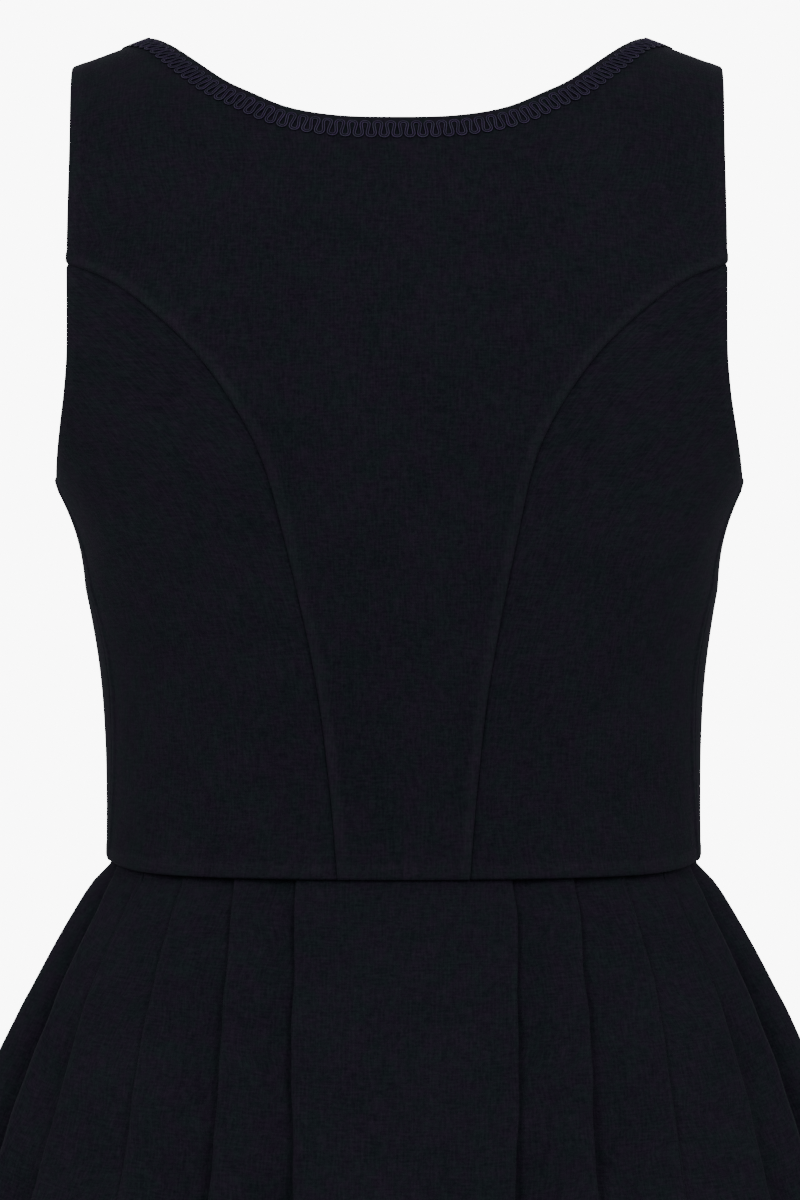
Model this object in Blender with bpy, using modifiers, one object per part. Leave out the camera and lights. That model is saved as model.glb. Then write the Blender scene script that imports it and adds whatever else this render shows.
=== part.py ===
"""Sleeveless dirndl in its worn, hollow form: princess-seamed bodice, pleated skirt, looped neck braid.

Metres, +Z up. The back faces +Y and the front faces -Y, so the wearer's left is at +X. The origin
lies midway between the shoulders, where the wearer holds the garment up. Heights in the tables are
measured up from the waist seam, and drops are measured down from it.
"""

import math
from collections import namedtuple

import bmesh
import bpy
from mathutils import Vector

# Driving dimensions.
ORIGIN_HEIGHT = 0.380  # origin above the waist seam
RIDGE_HEIGHT = 0.3860  # top of the shoulder straps above the waist seam
SHOULDER_START = 0.290  # height where back and front begin to close over the shoulder
UNDERARM_HEIGHT = 0.180
SHOULDER_FALL = 0.37  # fall of the strap for each metre outward from the neck
FALL_START = 0.240  # height where the strap's fall begins to show
STRAP_INNER = 0.115  # half distance between the straps at the ridge
SIDE_RISE = 0.005  # how much higher the waist seam runs at the sides
SIDE_RISE_POWER = 14.0
SIDE_RISE_FADE = 0.060
SKIRT_SHARE_OF_RISE = 0.7  # keeps the skirt clear below the bodice's faceted edge
FORM_POWER = 2.2  # 2 is an ellipse; more is squarer
SKIRT_POWER = 2.12
CAP_POWER = 0.62  # sharpness of the shoulder ridge
BODICE_CLOTH = 0.0016
SKIRT_CLOTH = 0.0012
SEAM_GAP = 0.0003
BRAID_WIDTH = 0.0108
BRAID_THICK = 0.0012
BRAID_LIFT = 0.0009  # clear of the panel below
BRAID_MARGIN = 0.0024  # cloth that shows above the braid
RIDGE_ROUND = 0.012  # how near the ridge the braid turns over it
BUST_ACROSS = 0.084
BUST_HEIGHT = 0.166
BUST_RADIUS = 0.050
BUST_RISE = 0.015

# Number of rows and columns of cloth facets.
SEAM_ROWS = 9
ARMHOLE_ROWS = 7
CENTRE_COLUMNS = 7
SIDE_COLUMNS = 7
BRAID_STEPS = 42
QUARTER_SAMPLES = 90
SEAM_SHARE = 0.62  # part of a centre panel's outer edge that is seam; the rest is armhole
BACK_NECK_SHARE = SEAM_SHARE  # part of a centre panel's inner edge below the neckline
FRONT_NECK_SHARE = SEAM_SHARE * 5 / SEAM_ROWS
RIDGE_ROW = 0.991  # share of a centre panel's rows where the narrow ridge row begins
SEAM_EASE = 1.7  # crowds a princess seam's rows into its curved top
UNDERARM_SHARE = 0.22  # part of a front side panel's top edge that lies under the arm
UNDERARM_CLIMB = 0.004
UNDERARM_DIP = 0.0016
UNDERARM_EASE = 1.4  # crowds the rest of that edge's columns into its curve

Ring = namedtuple("Ring", "height half_width back front")
FORM = (
    Ring(-0.010, 0.1390, 0.0980, 0.1040),
    Ring(0.030, 0.1387, 0.0985, 0.1050),
    Ring(0.060, 0.1392, 0.1010, 0.1090),
    Ring(0.090, 0.1412, 0.1045, 0.1160),
    Ring(0.120, 0.1457, 0.1085, 0.1265),
    Ring(0.150, 0.1521, 0.1125, 0.1365),
    Ring(0.180, 0.1603, 0.1155, 0.1420),
    Ring(0.210, 0.1690, 0.1165, 0.1400),
    Ring(0.250, 0.1775, 0.1140, 0.1290),
    Ring(0.290, 0.1825, 0.1070, 0.1150),
    Ring(RIDGE_HEIGHT, 0.1825, 0.1000, 0.1000),
)

# Curves drawn on the form: how far each lies from the middle, or behind the side, at a height.
SeamPoint = namedtuple("SeamPoint", "height across")
BACK_PRINCESS = (
    SeamPoint(0.000, 0.0300),
    SeamPoint(0.038, 0.0331),
    SeamPoint(0.092, 0.0397),
    SeamPoint(0.164, 0.0546),
    SeamPoint(0.191, 0.0620),
    SeamPoint(0.213, 0.0730),
    SeamPoint(0.238, 0.0911),
    SeamPoint(0.258, 0.1124),
    SeamPoint(0.272, 0.1321),
    SeamPoint(0.280, 0.1508),
)
FRONT_PRINCESS = (
    SeamPoint(0.000, 0.0560),
    SeamPoint(0.060, 0.0640),
    SeamPoint(0.120, 0.0780),
    SeamPoint(0.166, 0.0860),
    SeamPoint(0.205, 0.0900),
    SeamPoint(0.238, 0.1040),
    SeamPoint(0.262, 0.1260),
    SeamPoint(0.280, 0.1508),
)
ARMHOLE = (
    SeamPoint(0.180, 0.1596),
    SeamPoint(0.194, 0.1574),
    SeamPoint(0.208, 0.1549),
    SeamPoint(0.222, 0.1527),
    SeamPoint(0.240, 0.1511),
    SeamPoint(0.285, 0.1507),
    SeamPoint(0.340, 0.1502),
    SeamPoint(RIDGE_HEIGHT, 0.1515),
)
SideSeamPoint = namedtuple("SideSeamPoint", "height behind_side")
SIDE_SEAM = (
    SideSeamPoint(0.000, 0.018),
    SideSeamPoint(0.050, 0.029),
    SideSeamPoint(0.100, 0.034),
    SideSeamPoint(0.140, 0.026),
    SideSeamPoint(0.180, 0.0145),
)

# Neckline, from the middle of the back over the shoulder to the middle of the front. The run is
# the way down from the ridge along the cloth, positive on the back.
NeckPoint = namedtuple("NeckPoint", "across run")
NECKLINE = (
    NeckPoint(0.0000, 0.0922),
    NeckPoint(0.0267, 0.0912),
    NeckPoint(0.0487, 0.0864),
    NeckPoint(0.0654, 0.0770),
    NeckPoint(0.0818, 0.0640),
    NeckPoint(0.1000, 0.0372),
    NeckPoint(0.1150, 0.0000),
    NeckPoint(0.1175, -0.0300),
    NeckPoint(0.1160, -0.0700),
    NeckPoint(0.1110, -0.1100),
    NeckPoint(0.1010, -0.1500),
    NeckPoint(0.0820, -0.1820),
    NeckPoint(0.0480, -0.2010),
    NeckPoint(0.0000, -0.2080),
)
NECK_RIDGE_ROW = 6
RIDGE_EDGE = 0.0005  # how far short of the ridge line the cloth is drawn

# Skirt sections, a row for each ring going down. depth is how deep the fullest folds go; tuck is how
# far each fold lies over the next panel, less than nothing where the fold stands open; nose is the
# roundness of the fold's edge; opening is how far the folds have opened into flutes.
SkirtRing = namedtuple("SkirtRing", "drop half_width back front depth tuck nose opening")
SKIRT = (
    SkirtRing(-0.006, 0.1368, 0.0957, 0.1017, 0.0044, 0.0085, 0.0018, 0.00),
    SkirtRing(0.0008, 0.1369, 0.0958, 0.1018, 0.0048, 0.0085, 0.0019, 0.00),
    SkirtRing(0.012, 0.1490, 0.1050, 0.1110, 0.0075, 0.0090, 0.0022, 0.00),
    SkirtRing(0.046, 0.1712, 0.1250, 0.1310, 0.0100, 0.0090, 0.0029, 0.05),
    SkirtRing(0.090, 0.1940, 0.1450, 0.1510, 0.0125, 0.0080, 0.0036, 0.12),
    SkirtRing(0.135, 0.2138, 0.1625, 0.1685, 0.0150, 0.0065, 0.0040, 0.21),
    SkirtRing(0.190, 0.2345, 0.1825, 0.1882, 0.0190, 0.0030, 0.0047, 0.34),
    SkirtRing(0.300, 0.2690, 0.2180, 0.2230, 0.0255, -0.0070, 0.0060, 0.60),
    SkirtRing(0.650, 0.3600, 0.3180, 0.3210, 0.0370, -0.0300, 0.0120, 1.00),
)
# Each fold's place round a quarter of the skirt, from the middle to the side, as a share of the
# quarter at each of FOLD_DROPS. Where the folds are closed, full is how much of its ring's depth a
# fold has, nothing where it is pressed shut, and hollow is how far its valley runs to the next fold.
FOLD_DROPS = (0.0, 0.012, 0.046, 0.150, 0.650)
Fold = namedtuple("Fold", "waist gather hip thigh hem full hollow")
FOLDS = (
    Fold(0.268, 0.246, 0.211, 0.160, 0.115, 0.10, 0.16),
    Fold(0.429, 0.394, 0.345, 0.285, 0.250, 0.15, 0.16),
    Fold(0.575, 0.538, 0.500, 0.428, 0.430, 0.00, 0.16),
    Fold(0.720, 0.678, 0.648, 0.592, 0.625, 0.10, 0.16),
    Fold(0.835, 0.757, 0.724, 0.690, 0.775, 1.40, 0.45),
    Fold(0.945, 0.912, 0.888, 0.860, 0.905, 0.60, 0.16),
)
SHUT_DEPTH = 0.0044
SHUT_NOSE = 0.0018
TUCK_SHARE = 0.23  # of the way from the last fold, at most
# A fold's section, corner by corner from its edge to the next fold. The way round is counted from
# the fold's place: in noses, in tucks, in hollows, and in shares of the way to the next fold where
# the folds are shut or open. The depth is counted in noses and in shares of the fold's depth.
FoldCorner = namedtuple("FoldCorner", "noses tucks hollows shut open noses_deep deep")
FOLD_CORNERS = (
    FoldCorner(-1.4, 0, 0.0, 0.00, 0.00, 0, 0.00),
    FoldCorner(0.0, 0, 0.0, 0.00, 0.00, 1, 0.00),
    FoldCorner(-0.9, 0, 0.0, 0.00, 0.22, 2, 0.00),
    FoldCorner(0.0, -1, 0.0, 0.00, 0.27, 0, 0.90),
    FoldCorner(0.0, -1, 0.0, 0.00, 0.42, 0, 1.00),
    FoldCorner(0.0, 0, 1.0, 0.00, 0.55, 0, 0.85),
    FoldCorner(0.0, 0, 0.5, 0.52, 0.77, 0, 0.26),
)
SIDE_CORNERS = 6  # corners of the fold nearest the side seam
SIDE_FLAT = 0.965  # share of the quarter where the cloth runs flat to the side seam
SIDE_DEPTH = 0.40  # share of the last fold's depth there

# Hooks and eyes inside the front edges. Their wires' bends are given across from the opening,
# inward from the cloth and up along it, in metres.
HOOK_PAIRS = 7
LOWEST_HOOK = 0.016  # above the waist seam
HOOK_SPACING = 0.034
WIRE_RADIUS = 0.0004
WIRE_CLEAR = 0.0010  # wire's middle from the cloth's inner face
Bend = namedtuple("Bend", "across inward up")
HALF_HOOK = (
    Bend(0.0090, 0.0000, 0.0024),
    Bend(0.0070, 0.0000, 0.0024),
    Bend(0.0050, 0.0000, 0.0007),
    Bend(-0.0036, 0.0000, 0.0007),
    Bend(-0.0046, 0.0013, 0.0007),
    Bend(-0.0036, 0.0026, 0.0007),
    Bend(0.0000, 0.0026, 0.0007),
)
HALF_EYE = (
    Bend(-0.0095, 0.0000, 0.0028),
    Bend(-0.0075, 0.0000, 0.0028),
    Bend(-0.0045, 0.0013, 0.0028),
    Bend(-0.0022, 0.0013, 0.0022),
)

Finish = namedtuple("Finish", "name color roughness metallic")
BODICE_FINISH = Finish("bodice_cloth", (0.0070, 0.0078, 0.0115, 1.0), 0.88, 0.0)
SKIRT_FINISH = Finish("skirt_cloth", (0.0070, 0.0078, 0.0115, 1.0), 0.88, 0.0)
BRAID_FINISH = Finish("braid", (0.020, 0.015, 0.048, 1.0), 0.70, 0.0)
WIRE_FINISH = Finish("lacquered_wire", (0.030, 0.030, 0.035, 1.0), 0.35, 1.0)


def smooth_value(rows, key, place, field):
    """A smooth curve through one column of a table, read at a place along the key column."""
    last = len(rows) - 2
    at = max(i for i in range(last + 1) if i == 0 or getattr(rows[i], key) <= place)
    spots = [getattr(row, key) for row in rows]
    values = [getattr(row, field) for row in rows]
    step = spots[at + 1] - spots[at]
    share = min(max((place - spots[at]) / step, 0.0), 1.0)

    def slope(i):
        low, high = max(i - 1, 0), min(i + 1, len(rows) - 1)
        return (values[high] - values[low]) / (spots[high] - spots[low])

    square, cube = share**2, share**3
    return (
        values[at] * (2 * cube - 3 * square + 1)
        + slope(at) * step * (cube - 2 * square + share)
        + values[at + 1] * (3 * square - 2 * cube)
        + slope(at + 1) * step * (cube - square)
    )


RIDGE_TRAVEL = SHOULDER_START + (RIDGE_HEIGHT - SHOULDER_START) * math.pi / 2


def height_of(travel):
    """Height at a way up the cloth, which slows down as the cloth turns over the shoulder."""
    if travel <= SHOULDER_START:
        return travel
    rise = RIDGE_HEIGHT - SHOULDER_START
    return SHOULDER_START + rise * math.sin(min((travel - SHOULDER_START) / rise, math.pi / 2))


def travel_of(height):
    if height <= SHOULDER_START:
        return height
    rise = RIDGE_HEIGHT - SHOULDER_START
    return SHOULDER_START + rise * math.asin(min((height - SHOULDER_START) / rise, 1.0))


def half_width(height):
    return smooth_value(FORM, "height", height, "half_width")


def depth(height, back):
    """Depth of the form from its side line, on the back or on the front."""
    full = smooth_value(FORM, "height", height, "back" if back else "front")
    if height <= SHOULDER_START:
        return full
    share = (height - SHOULDER_START) / (RIDGE_HEIGHT - SHOULDER_START)
    return full * max(1 - share**2, 0.0) ** CAP_POWER


def angle_across(across, height, back):
    """Angle round the form, from the side, of the point that lies this far from the middle."""
    share = min(abs(across) / half_width(height), 1.0)
    angle = math.acos(share ** (FORM_POWER / 2))
    return angle if back else -angle


def angle_behind(behind, height):
    """Angle round the form of the point that lies this far behind the side line."""
    return math.asin((behind / depth(height, True)) ** (FORM_POWER / 2))


def side_rise(share, height):
    """Lift of the cloth near the sides, at a share of the half width and a height from the seam."""
    near = max(1 - abs(height) / SIDE_RISE_FADE, 0.0)
    return SIDE_RISE * min(share, 1.0) ** SIDE_RISE_POWER * near**2


def form_point(angle, travel):
    """Point of the bodice's right side at an angle from the side and a way up the cloth."""
    height = height_of(travel)
    power = 2 / FORM_POWER
    x = half_width(height) * max(math.cos(angle), 0.0) ** power
    y = depth(height, angle >= 0) * abs(math.sin(angle)) ** power * (1 if angle >= 0 else -1)
    if angle < 0:
        away = ((x - BUST_ACROSS) ** 2 + (height - BUST_HEIGHT) ** 2) / BUST_RADIUS**2
        y -= BUST_RISE * math.exp(-away) * math.sin(-angle)
    climb = max(height - FALL_START, 0.0) / (RIDGE_HEIGHT - FALL_START)
    lift = side_rise(x / half_width(height), height)
    lift -= SHOULDER_FALL * max(x - STRAP_INNER, 0.0) * climb**2
    return Vector((x, y, height + lift - ORIGIN_HEIGHT))


def seam_leg(rows, back):
    """A panel edge along a seam drawn on the form, from its first height to its last."""

    def leg(share):
        climb = 1 - (1 - share) ** SEAM_EASE
        height = rows[0].height + climb * (rows[-1].height - rows[0].height)
        across = smooth_value(rows, "height", height, "across")
        return angle_across(across, height, back), travel_of(height)

    return leg


def side_leg(share):
    height = share * UNDERARM_HEIGHT
    behind = smooth_value(SIDE_SEAM, "height", height, "behind_side")
    return angle_behind(behind, height), travel_of(height)


def armhole_leg(start, end, back):
    """The armhole edge between two heights on one side of the form."""

    def leg(share):
        travel = travel_of(start) + share * (travel_of(end) - travel_of(start))
        height = height_of(travel)
        across = smooth_value(ARMHOLE, "height", height, "across")
        return angle_across(across, height, back), travel

    return leg


def underarm_leg(share):
    """The front of the armhole, from the side seam round its lowest point and up to the seam."""
    rising = armhole_leg(UNDERARM_HEIGHT + UNDERARM_CLIMB, FRONT_PRINCESS[-1].height, False)
    if share > UNDERARM_SHARE:
        return rising(((share - UNDERARM_SHARE) / (1 - UNDERARM_SHARE)) ** UNDERARM_EASE)
    part = share / UNDERARM_SHARE
    angle, travel = between(side_leg(1.0), rising(0.0))(part)
    return angle, travel - UNDERARM_DIP * math.sin(math.pi * part)


def neck_point(place):
    """Across and run of the neckline at a place counted in rows of its table."""
    at = min(max(int(place), 0), len(NECKLINE) - 2)
    share = place - at

    def mirrored(i):
        if i < 0:
            return NeckPoint(-NECKLINE[1].across, NECKLINE[1].run)
        if i > len(NECKLINE) - 1:
            return NeckPoint(-NECKLINE[-2].across, NECKLINE[-2].run)
        return NECKLINE[i]

    before, low, high, after = (mirrored(at + i) for i in (-1, 0, 1, 2))
    found = []
    for a, b, c, d in zip(before, low, high, after):
        found.append(
            0.5
            * (
                2 * b
                + (c - a) * share
                + (2 * a - 5 * b + 4 * c - d) * share**2
                + (3 * b - a - 3 * c + d) * share**3
            )
        )
    return NeckPoint(*found)


def neck_spot(place, back):
    """Angle and travel of the neckline at a place in its table."""
    point = neck_point(place)
    travel = min(RIDGE_TRAVEL - abs(point.run), RIDGE_TRAVEL - RIDGE_EDGE)
    return angle_across(max(point.across, 0.0), height_of(travel), back), travel


def joined(first, second, share_of_first):
    """Two edges walked one after the other."""

    def leg(share):
        if share <= share_of_first:
            return first(share / share_of_first)
        return second((share - share_of_first) / (1 - share_of_first))

    return leg


def between(start, end):
    """A straight edge on the form."""
    return lambda share: tuple(a + share * (b - a) for a, b in zip(start, end))


def patch(top, first, last):
    """Every point between two side edges, bending upward to follow the top edge."""
    start, end = top(0.0), top(1.0)

    def spot(u, v):
        return tuple(
            (1 - u) * left + u * right + v * (high - (1 - u) * a - u * b)
            for high, left, right, a, b in zip(top(u), first(v), last(v), start, end)
        )

    return spot


def principled(finish):
    material = bpy.data.materials.new(finish.name)
    material.use_nodes = True
    shader = material.node_tree.nodes["Principled BSDF"]
    shader.inputs["Base Color"].default_value = finish.color
    shader.inputs["Roughness"].default_value = finish.roughness
    shader.inputs["Metallic"].default_value = finish.metallic
    material.diffuse_color = finish.color
    return material


def cloth_object(name, points, finish, thickness, offset, mirror=False, flip=False):
    """A cloth piece: a grid laid on rows of points, mirrored where it is symmetric, and given a wall."""
    rows, columns = len(points), len(points[0])
    cloth = bmesh.new()
    bmesh.ops.create_grid(cloth, x_segments=columns - 1, y_segments=rows - 1, size=0.5)
    for vert in cloth.verts:
        row = round((vert.co.y + 0.5) * (rows - 1))
        column = round((vert.co.x + 0.5) * (columns - 1))
        vert.co = points[row][column]
    if flip:
        bmesh.ops.reverse_faces(cloth, faces=cloth.faces)
    mesh = bpy.data.meshes.new(name)
    cloth.to_mesh(mesh)
    cloth.free()
    mesh.shade_smooth()
    mesh.materials.append(principled(finish))
    piece = bpy.data.objects.new(name, mesh)
    bpy.data.collections["dirndl"].objects.link(piece)
    if mirror:
        half = piece.modifiers.new("other_half", "MIRROR")
        half.use_axis = (True, False, False)
        half.use_clip = True
        half.merge_threshold = 0.0001
    wall = piece.modifiers.new("wall", "SOLIDIFY")
    wall.thickness = thickness
    wall.offset = offset
    return piece


def inset(points, distance, sides):
    """The rows of points with the named edges drawn in along the cloth, to leave the seams' gaps."""
    rows, columns = len(points), len(points[0])
    moved = [[point.copy() for point in row] for row in points]
    starts = {
        "bottom": [(0, j, 1, 0) for j in range(columns)],
        "top": [(rows - 1, j, -1, 0) for j in range(columns)],
        "first": [(i, 0, 0, 1) for i in range(rows)],
        "last": [(i, columns - 1, 0, -1) for i in range(rows)],
    }
    for side in sides:
        for i, j, down, over in starts[side]:
            inward = points[i + down][j + over] - points[i][j]
            if down:
                along = points[i][min(j + 1, columns - 1)] - points[i][max(j - 1, 0)]
            else:
                along = points[min(i + 1, rows - 1)][j] - points[max(i - 1, 0)][j]
            along.normalize()
            inward -= along * inward.dot(along)
            moved[i][j] += inward.normalized() * distance
    return moved


def eased(count, margin):
    """Shares from 0 to 1 whose first and last steps are narrow, so that a seam's edge lies true."""
    inner = [margin + (1 - 2 * margin) * i / (count - 2) for i in range(count - 1)]
    return [0.0] + inner + [1.0]


def panel_points(spot, columns, rows):
    return [[form_point(*spot(u, v)) for u in columns] for v in rows]


def mirrored_points(points):
    return [[Vector((-p.x, p.y, p.z)) for p in row] for row in points]


def add_pair(stem, points, flip):
    """The left piece and its mirror image on the right."""
    cloth_object(stem + "_left", points, BODICE_FINISH, BODICE_CLOTH, -1, flip=flip)
    other = mirrored_points(points)
    cloth_object(stem + "_right", other, BODICE_FINISH, BODICE_CLOTH, -1, flip=not flip)


def centre_rows():
    """Row shares of a centre panel: its seam's rows, the armhole's, and a narrow row at the ridge."""
    seam = [SEAM_SHARE * i / SEAM_ROWS for i in range(SEAM_ROWS + 1)]
    rest = [SEAM_SHARE + (1 - SEAM_SHARE) * i / ARMHOLE_ROWS for i in range(1, ARMHOLE_ROWS)]
    return seam + rest + [RIDGE_ROW, 1.0]


def centre_panel(princess, back):
    """Half of the back, or one front, in rows from its middle and neckline to its outer edge."""
    middle = 0 if back else len(NECKLINE) - 1
    neck_starts = BACK_NECK_SHARE if back else FRONT_NECK_SHARE

    def neck_edge(share):
        return neck_spot(middle + share * (NECK_RIDGE_ROW - middle), back)

    foot = (angle_across(0.0, 0.0, back), 0.0)
    inner = joined(between(foot, neck_edge(0.0)), neck_edge, neck_starts)
    armhole = armhole_leg(princess[-1].height, height_of(RIDGE_TRAVEL - RIDGE_EDGE), back)
    outer = joined(seam_leg(princess, back), armhole, SEAM_SHARE)
    shoulder = between(inner(1.0), outer(1.0))
    return panel_points(patch(shoulder, inner, outer), eased(CENTRE_COLUMNS, 0.07), centre_rows())


def side_panel(princess, back):
    """From the side seam and the armhole to the princess seam."""
    if back:
        top = armhole_leg(UNDERARM_HEIGHT, princess[-1].height, True)
    else:
        top = underarm_leg
    princess_leg = seam_leg(princess, back)
    spot = patch(top, side_leg, princess_leg)
    rows = [i / SEAM_ROWS for i in range(SEAM_ROWS + 1)]
    return panel_points(spot, eased(SIDE_COLUMNS, 0.05), rows)


def build_bodice():
    """Seven panels; gives the front opening's edge, where the hooks lie."""
    gap = SEAM_GAP / 2
    back = inset(centre_panel(BACK_PRINCESS, True), gap, ("last", "top"))
    for row in back[: SEAM_ROWS + 1]:
        row[0].x = 0.0
    cloth_object("back_center", back, BODICE_FINISH, BODICE_CLOTH, -1, mirror=True, flip=True)
    front = inset(centre_panel(FRONT_PRINCESS, False), gap, ("last", "top", "first"))
    add_pair("front_center", front, False)
    back_side = inset(side_panel(BACK_PRINCESS, True), gap, ("first", "last"))
    add_pair("back_side", back_side, False)
    front_side = inset(side_panel(FRONT_PRINCESS, False), gap, ("first", "last"))
    add_pair("front_side", front_side, True)
    return [row[0] for row in front]


def flat_point(across, run):
    """Point of the form at a place given as on the flat: across from the middle, down from the ridge."""
    travel = RIDGE_TRAVEL - max(abs(run), RIDGE_EDGE)
    point = form_point(angle_across(across, height_of(travel), run >= 0), travel)
    return Vector((math.copysign(point.x, across), point.y, point.z))


def flat_normal(across, run):
    step = 0.003
    over = flat_point(across + step, run) - flat_point(across - step, run)
    down = flat_point(across, run + step) - flat_point(across, run - step)
    return over.cross(down).normalized()


def braid_row(place):
    """Both edges of the braid at a place of the neckline, lifted clear of the panel."""
    step = 0.02
    here, before, after = (neck_point(place + shift) for shift in (0.0, -step, step))
    along = Vector((after.across - before.across, after.run - before.run)).normalized()
    into = Vector((-along.y, along.x))
    margin = BRAID_MARGIN * min(abs(here.run) / RIDGE_ROUND, 1.0)
    start = flat_point(here.across, here.run)
    row = []
    for wanted in (margin, margin + BRAID_WIDTH):
        way = wanted
        for _ in range(4):
            spot = here.across + into.x * way, here.run + into.y * way
            way *= wanted / max((flat_point(*spot) - start).length, 1e-6) if wanted else 0.0
        spot = here.across + into.x * way, here.run + into.y * way
        row.append(flat_point(*spot) + flat_normal(*spot) * BRAID_LIFT)
    return row


def build_braid():
    count = len(NECKLINE) - 1
    places = [count * i / BRAID_STEPS for i in range(BRAID_STEPS + 1)]
    points = [braid_row(place) for place in places]
    points[-1] = [Vector((SEAM_GAP / 2, p.y, p.z)) for p in points[-1]]
    for point in points[0]:
        point.x = 0.0
    cloth_object("neck_braid", points, BRAID_FINISH, BRAID_THICK, 1, mirror=True, flip=True)


def fold_place(fold, drop):
    """A fold's share of the quarter at a drop below the waist."""
    drop = max(drop, 0.0)
    at = max(i for i in range(len(FOLD_DROPS) - 1) if FOLD_DROPS[i] <= drop)
    share = (drop - FOLD_DROPS[at]) / (FOLD_DROPS[at + 1] - FOLD_DROPS[at])
    return fold[at] + (fold[at + 1] - fold[at]) * share


def quarter_walk(ring, back):
    """Points round a quarter of a skirt ring, from its middle to its side, with the way walked."""
    side = ring.back if back else -ring.front
    power = 2 / SKIRT_POWER
    points = []
    for i in range(QUARTER_SAMPLES + 1):
        angle = math.pi / 2 * (1 - i / QUARTER_SAMPLES)
        x = ring.half_width * max(math.cos(angle), 0.0) ** power
        points.append((x, side * math.sin(angle) ** power))
    walked = [0.0]
    for low, high in zip(points, points[1:]):
        walked.append(walked[-1] + math.dist(low, high))
    return points, walked


def on_quarter(points, walked, way):
    """Place and outward direction at a way round the quarter."""
    way = min(max(way, 0.0), walked[-1])
    at = max(i for i in range(len(walked) - 1) if walked[i] <= way)
    share = (way - walked[at]) / (walked[at + 1] - walked[at])
    low, high = Vector(points[at]), Vector(points[at + 1])
    along = (high - low).normalized()
    out = Vector((-along.y, along.x)) if points[0][1] > 0 else Vector((along.y, -along.x))
    return low.lerp(high, share), out


def fold_section(ring, back):
    """A quarter of the skirt's section as (way, depth below the ring), from the middle to the side."""
    walked = quarter_walk(ring, back)[1][-1]
    starts = [fold_place(fold, ring.drop) * walked for fold in FOLDS]
    section = [(0.0, 0.0), (starts[0] / 2, 0.0)]
    wide, tight = ring.opening, 1 - ring.opening
    for fold, last, start, end in zip(FOLDS, [0.0] + starts, starts, starts[1:] + [walked]):
        full = fold.full * tight + wide
        deep = SHUT_DEPTH + (ring.depth - SHUT_DEPTH) * full
        nose = SHUT_NOSE + (ring.nose - SHUT_NOSE) * full
        tuck = min(ring.tuck * tight, TUCK_SHARE * (start - last))
        reach = end + FOLD_CORNERS[0].noses * nose - start
        for corner in FOLD_CORNERS if end < walked else FOLD_CORNERS[:SIDE_CORNERS]:
            way = start + corner.noses * nose + corner.tucks * tuck
            shut = corner.shut + corner.hollows * fold.hollow
            way += (shut * tight + corner.open * wide) * reach
            section.append((way, corner.noses_deep * nose + corner.deep * deep))
    section += [(SIDE_FLAT * walked, SIDE_DEPTH * deep), (walked, SIDE_DEPTH * deep)]
    return section


def skirt_points(back):
    rows = []
    for ring in SKIRT:
        points, walked = quarter_walk(ring, back)
        row = []
        for way, below in fold_section(ring, back):
            place, out = on_quarter(points, walked, way)
            height = SKIRT_SHARE_OF_RISE * side_rise(place.x / ring.half_width, ring.drop)
            height -= ring.drop
            place -= out * below
            row.append(Vector((place.x, place.y, height - ORIGIN_HEIGHT)))
        rows.append(row)
    return rows


def build_skirt():
    gap = SEAM_GAP / 2
    back = inset(skirt_points(True), gap, ("last",))
    for row in back:
        row[0].x = 0.0
    cloth_object("skirt_back", back, SKIRT_FINISH, SKIRT_CLOTH, -1, mirror=True, flip=False)
    front = inset(skirt_points(False), gap, ("first", "last"))
    cloth_object("skirt_front_left", front, SKIRT_FINISH, SKIRT_CLOTH, -1, flip=True)
    other = mirrored_points(front)
    cloth_object("skirt_front_right", other, SKIRT_FINISH, SKIRT_CLOTH, -1, flip=False)


def wire_object(name, half, height, edge):
    """A bent wire, the same above and below its middle, laid inside the front's edge at a height."""
    bends = half + tuple(Bend(b.across, b.inward, -b.up) for b in reversed(half))
    curve = bpy.data.curves.new(name, "CURVE")
    curve.dimensions = "3D"
    curve.bevel_depth = WIRE_RADIUS
    curve.bevel_resolution = 1
    curve.use_fill_caps = True
    spline = curve.splines.new("POLY")
    spline.points.add(len(bends) - 1)
    for point, bend in zip(spline.points, bends):
        point.co = (*bend, 1.0)
    curve.materials.append(principled(WIRE_FINISH))
    low, high = next(pair for pair in zip(edge, edge[1:]) if pair[1].z > height - ORIGIN_HEIGHT)
    here = low.lerp(high, (height - ORIGIN_HEIGHT - low.z) / (high.z - low.z))
    lean = math.atan2(low.y - high.y, high.z - low.z)
    wire = bpy.data.objects.new(name, curve)
    bpy.data.collections["dirndl"].objects.link(wire)
    wire.location = (0.0, here.y + (BODICE_CLOTH + WIRE_CLEAR) / math.cos(lean), here.z)
    wire.rotation_euler.x = lean


def build_hooks(edge):
    """The pairs down the inside of the front, on the edge that its cloth meets at."""
    for i in range(HOOK_PAIRS):
        height = LOWEST_HOOK + i * HOOK_SPACING
        wire_object(f"hook_{i + 1}", HALF_HOOK, height, edge)
        wire_object(f"eye_{i + 1}", HALF_EYE, height, edge)


def main():
    for old in list(bpy.data.objects):
        bpy.data.objects.remove(old, do_unlink=True)
    dirndl = bpy.data.collections.new("dirndl")
    bpy.context.scene.collection.children.link(dirndl)
    edge = build_bodice()
    build_braid()
    build_skirt()
    build_hooks(edge)


main()
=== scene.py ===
"""Looks of a sleeveless dirndl in its worn, hollow form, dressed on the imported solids.

A near-black cloth bodice with curved princess seams, a full knife-pleated skirt set in at the waist, a
looped braid round the neckline, and hooks and eyes inside the front edges. Metres, +Z up. The back
faces +Y and the front -Y, so the wearer's left is at +X. Heights are measured up from the waist seam and
drops down from it. Travel is the way up the cloth from there, which goes on over the shoulder.
"""

import logging
import math
from collections.abc import Callable, Iterable, Sequence
from dataclasses import astuple, dataclass
from enum import Enum

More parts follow.
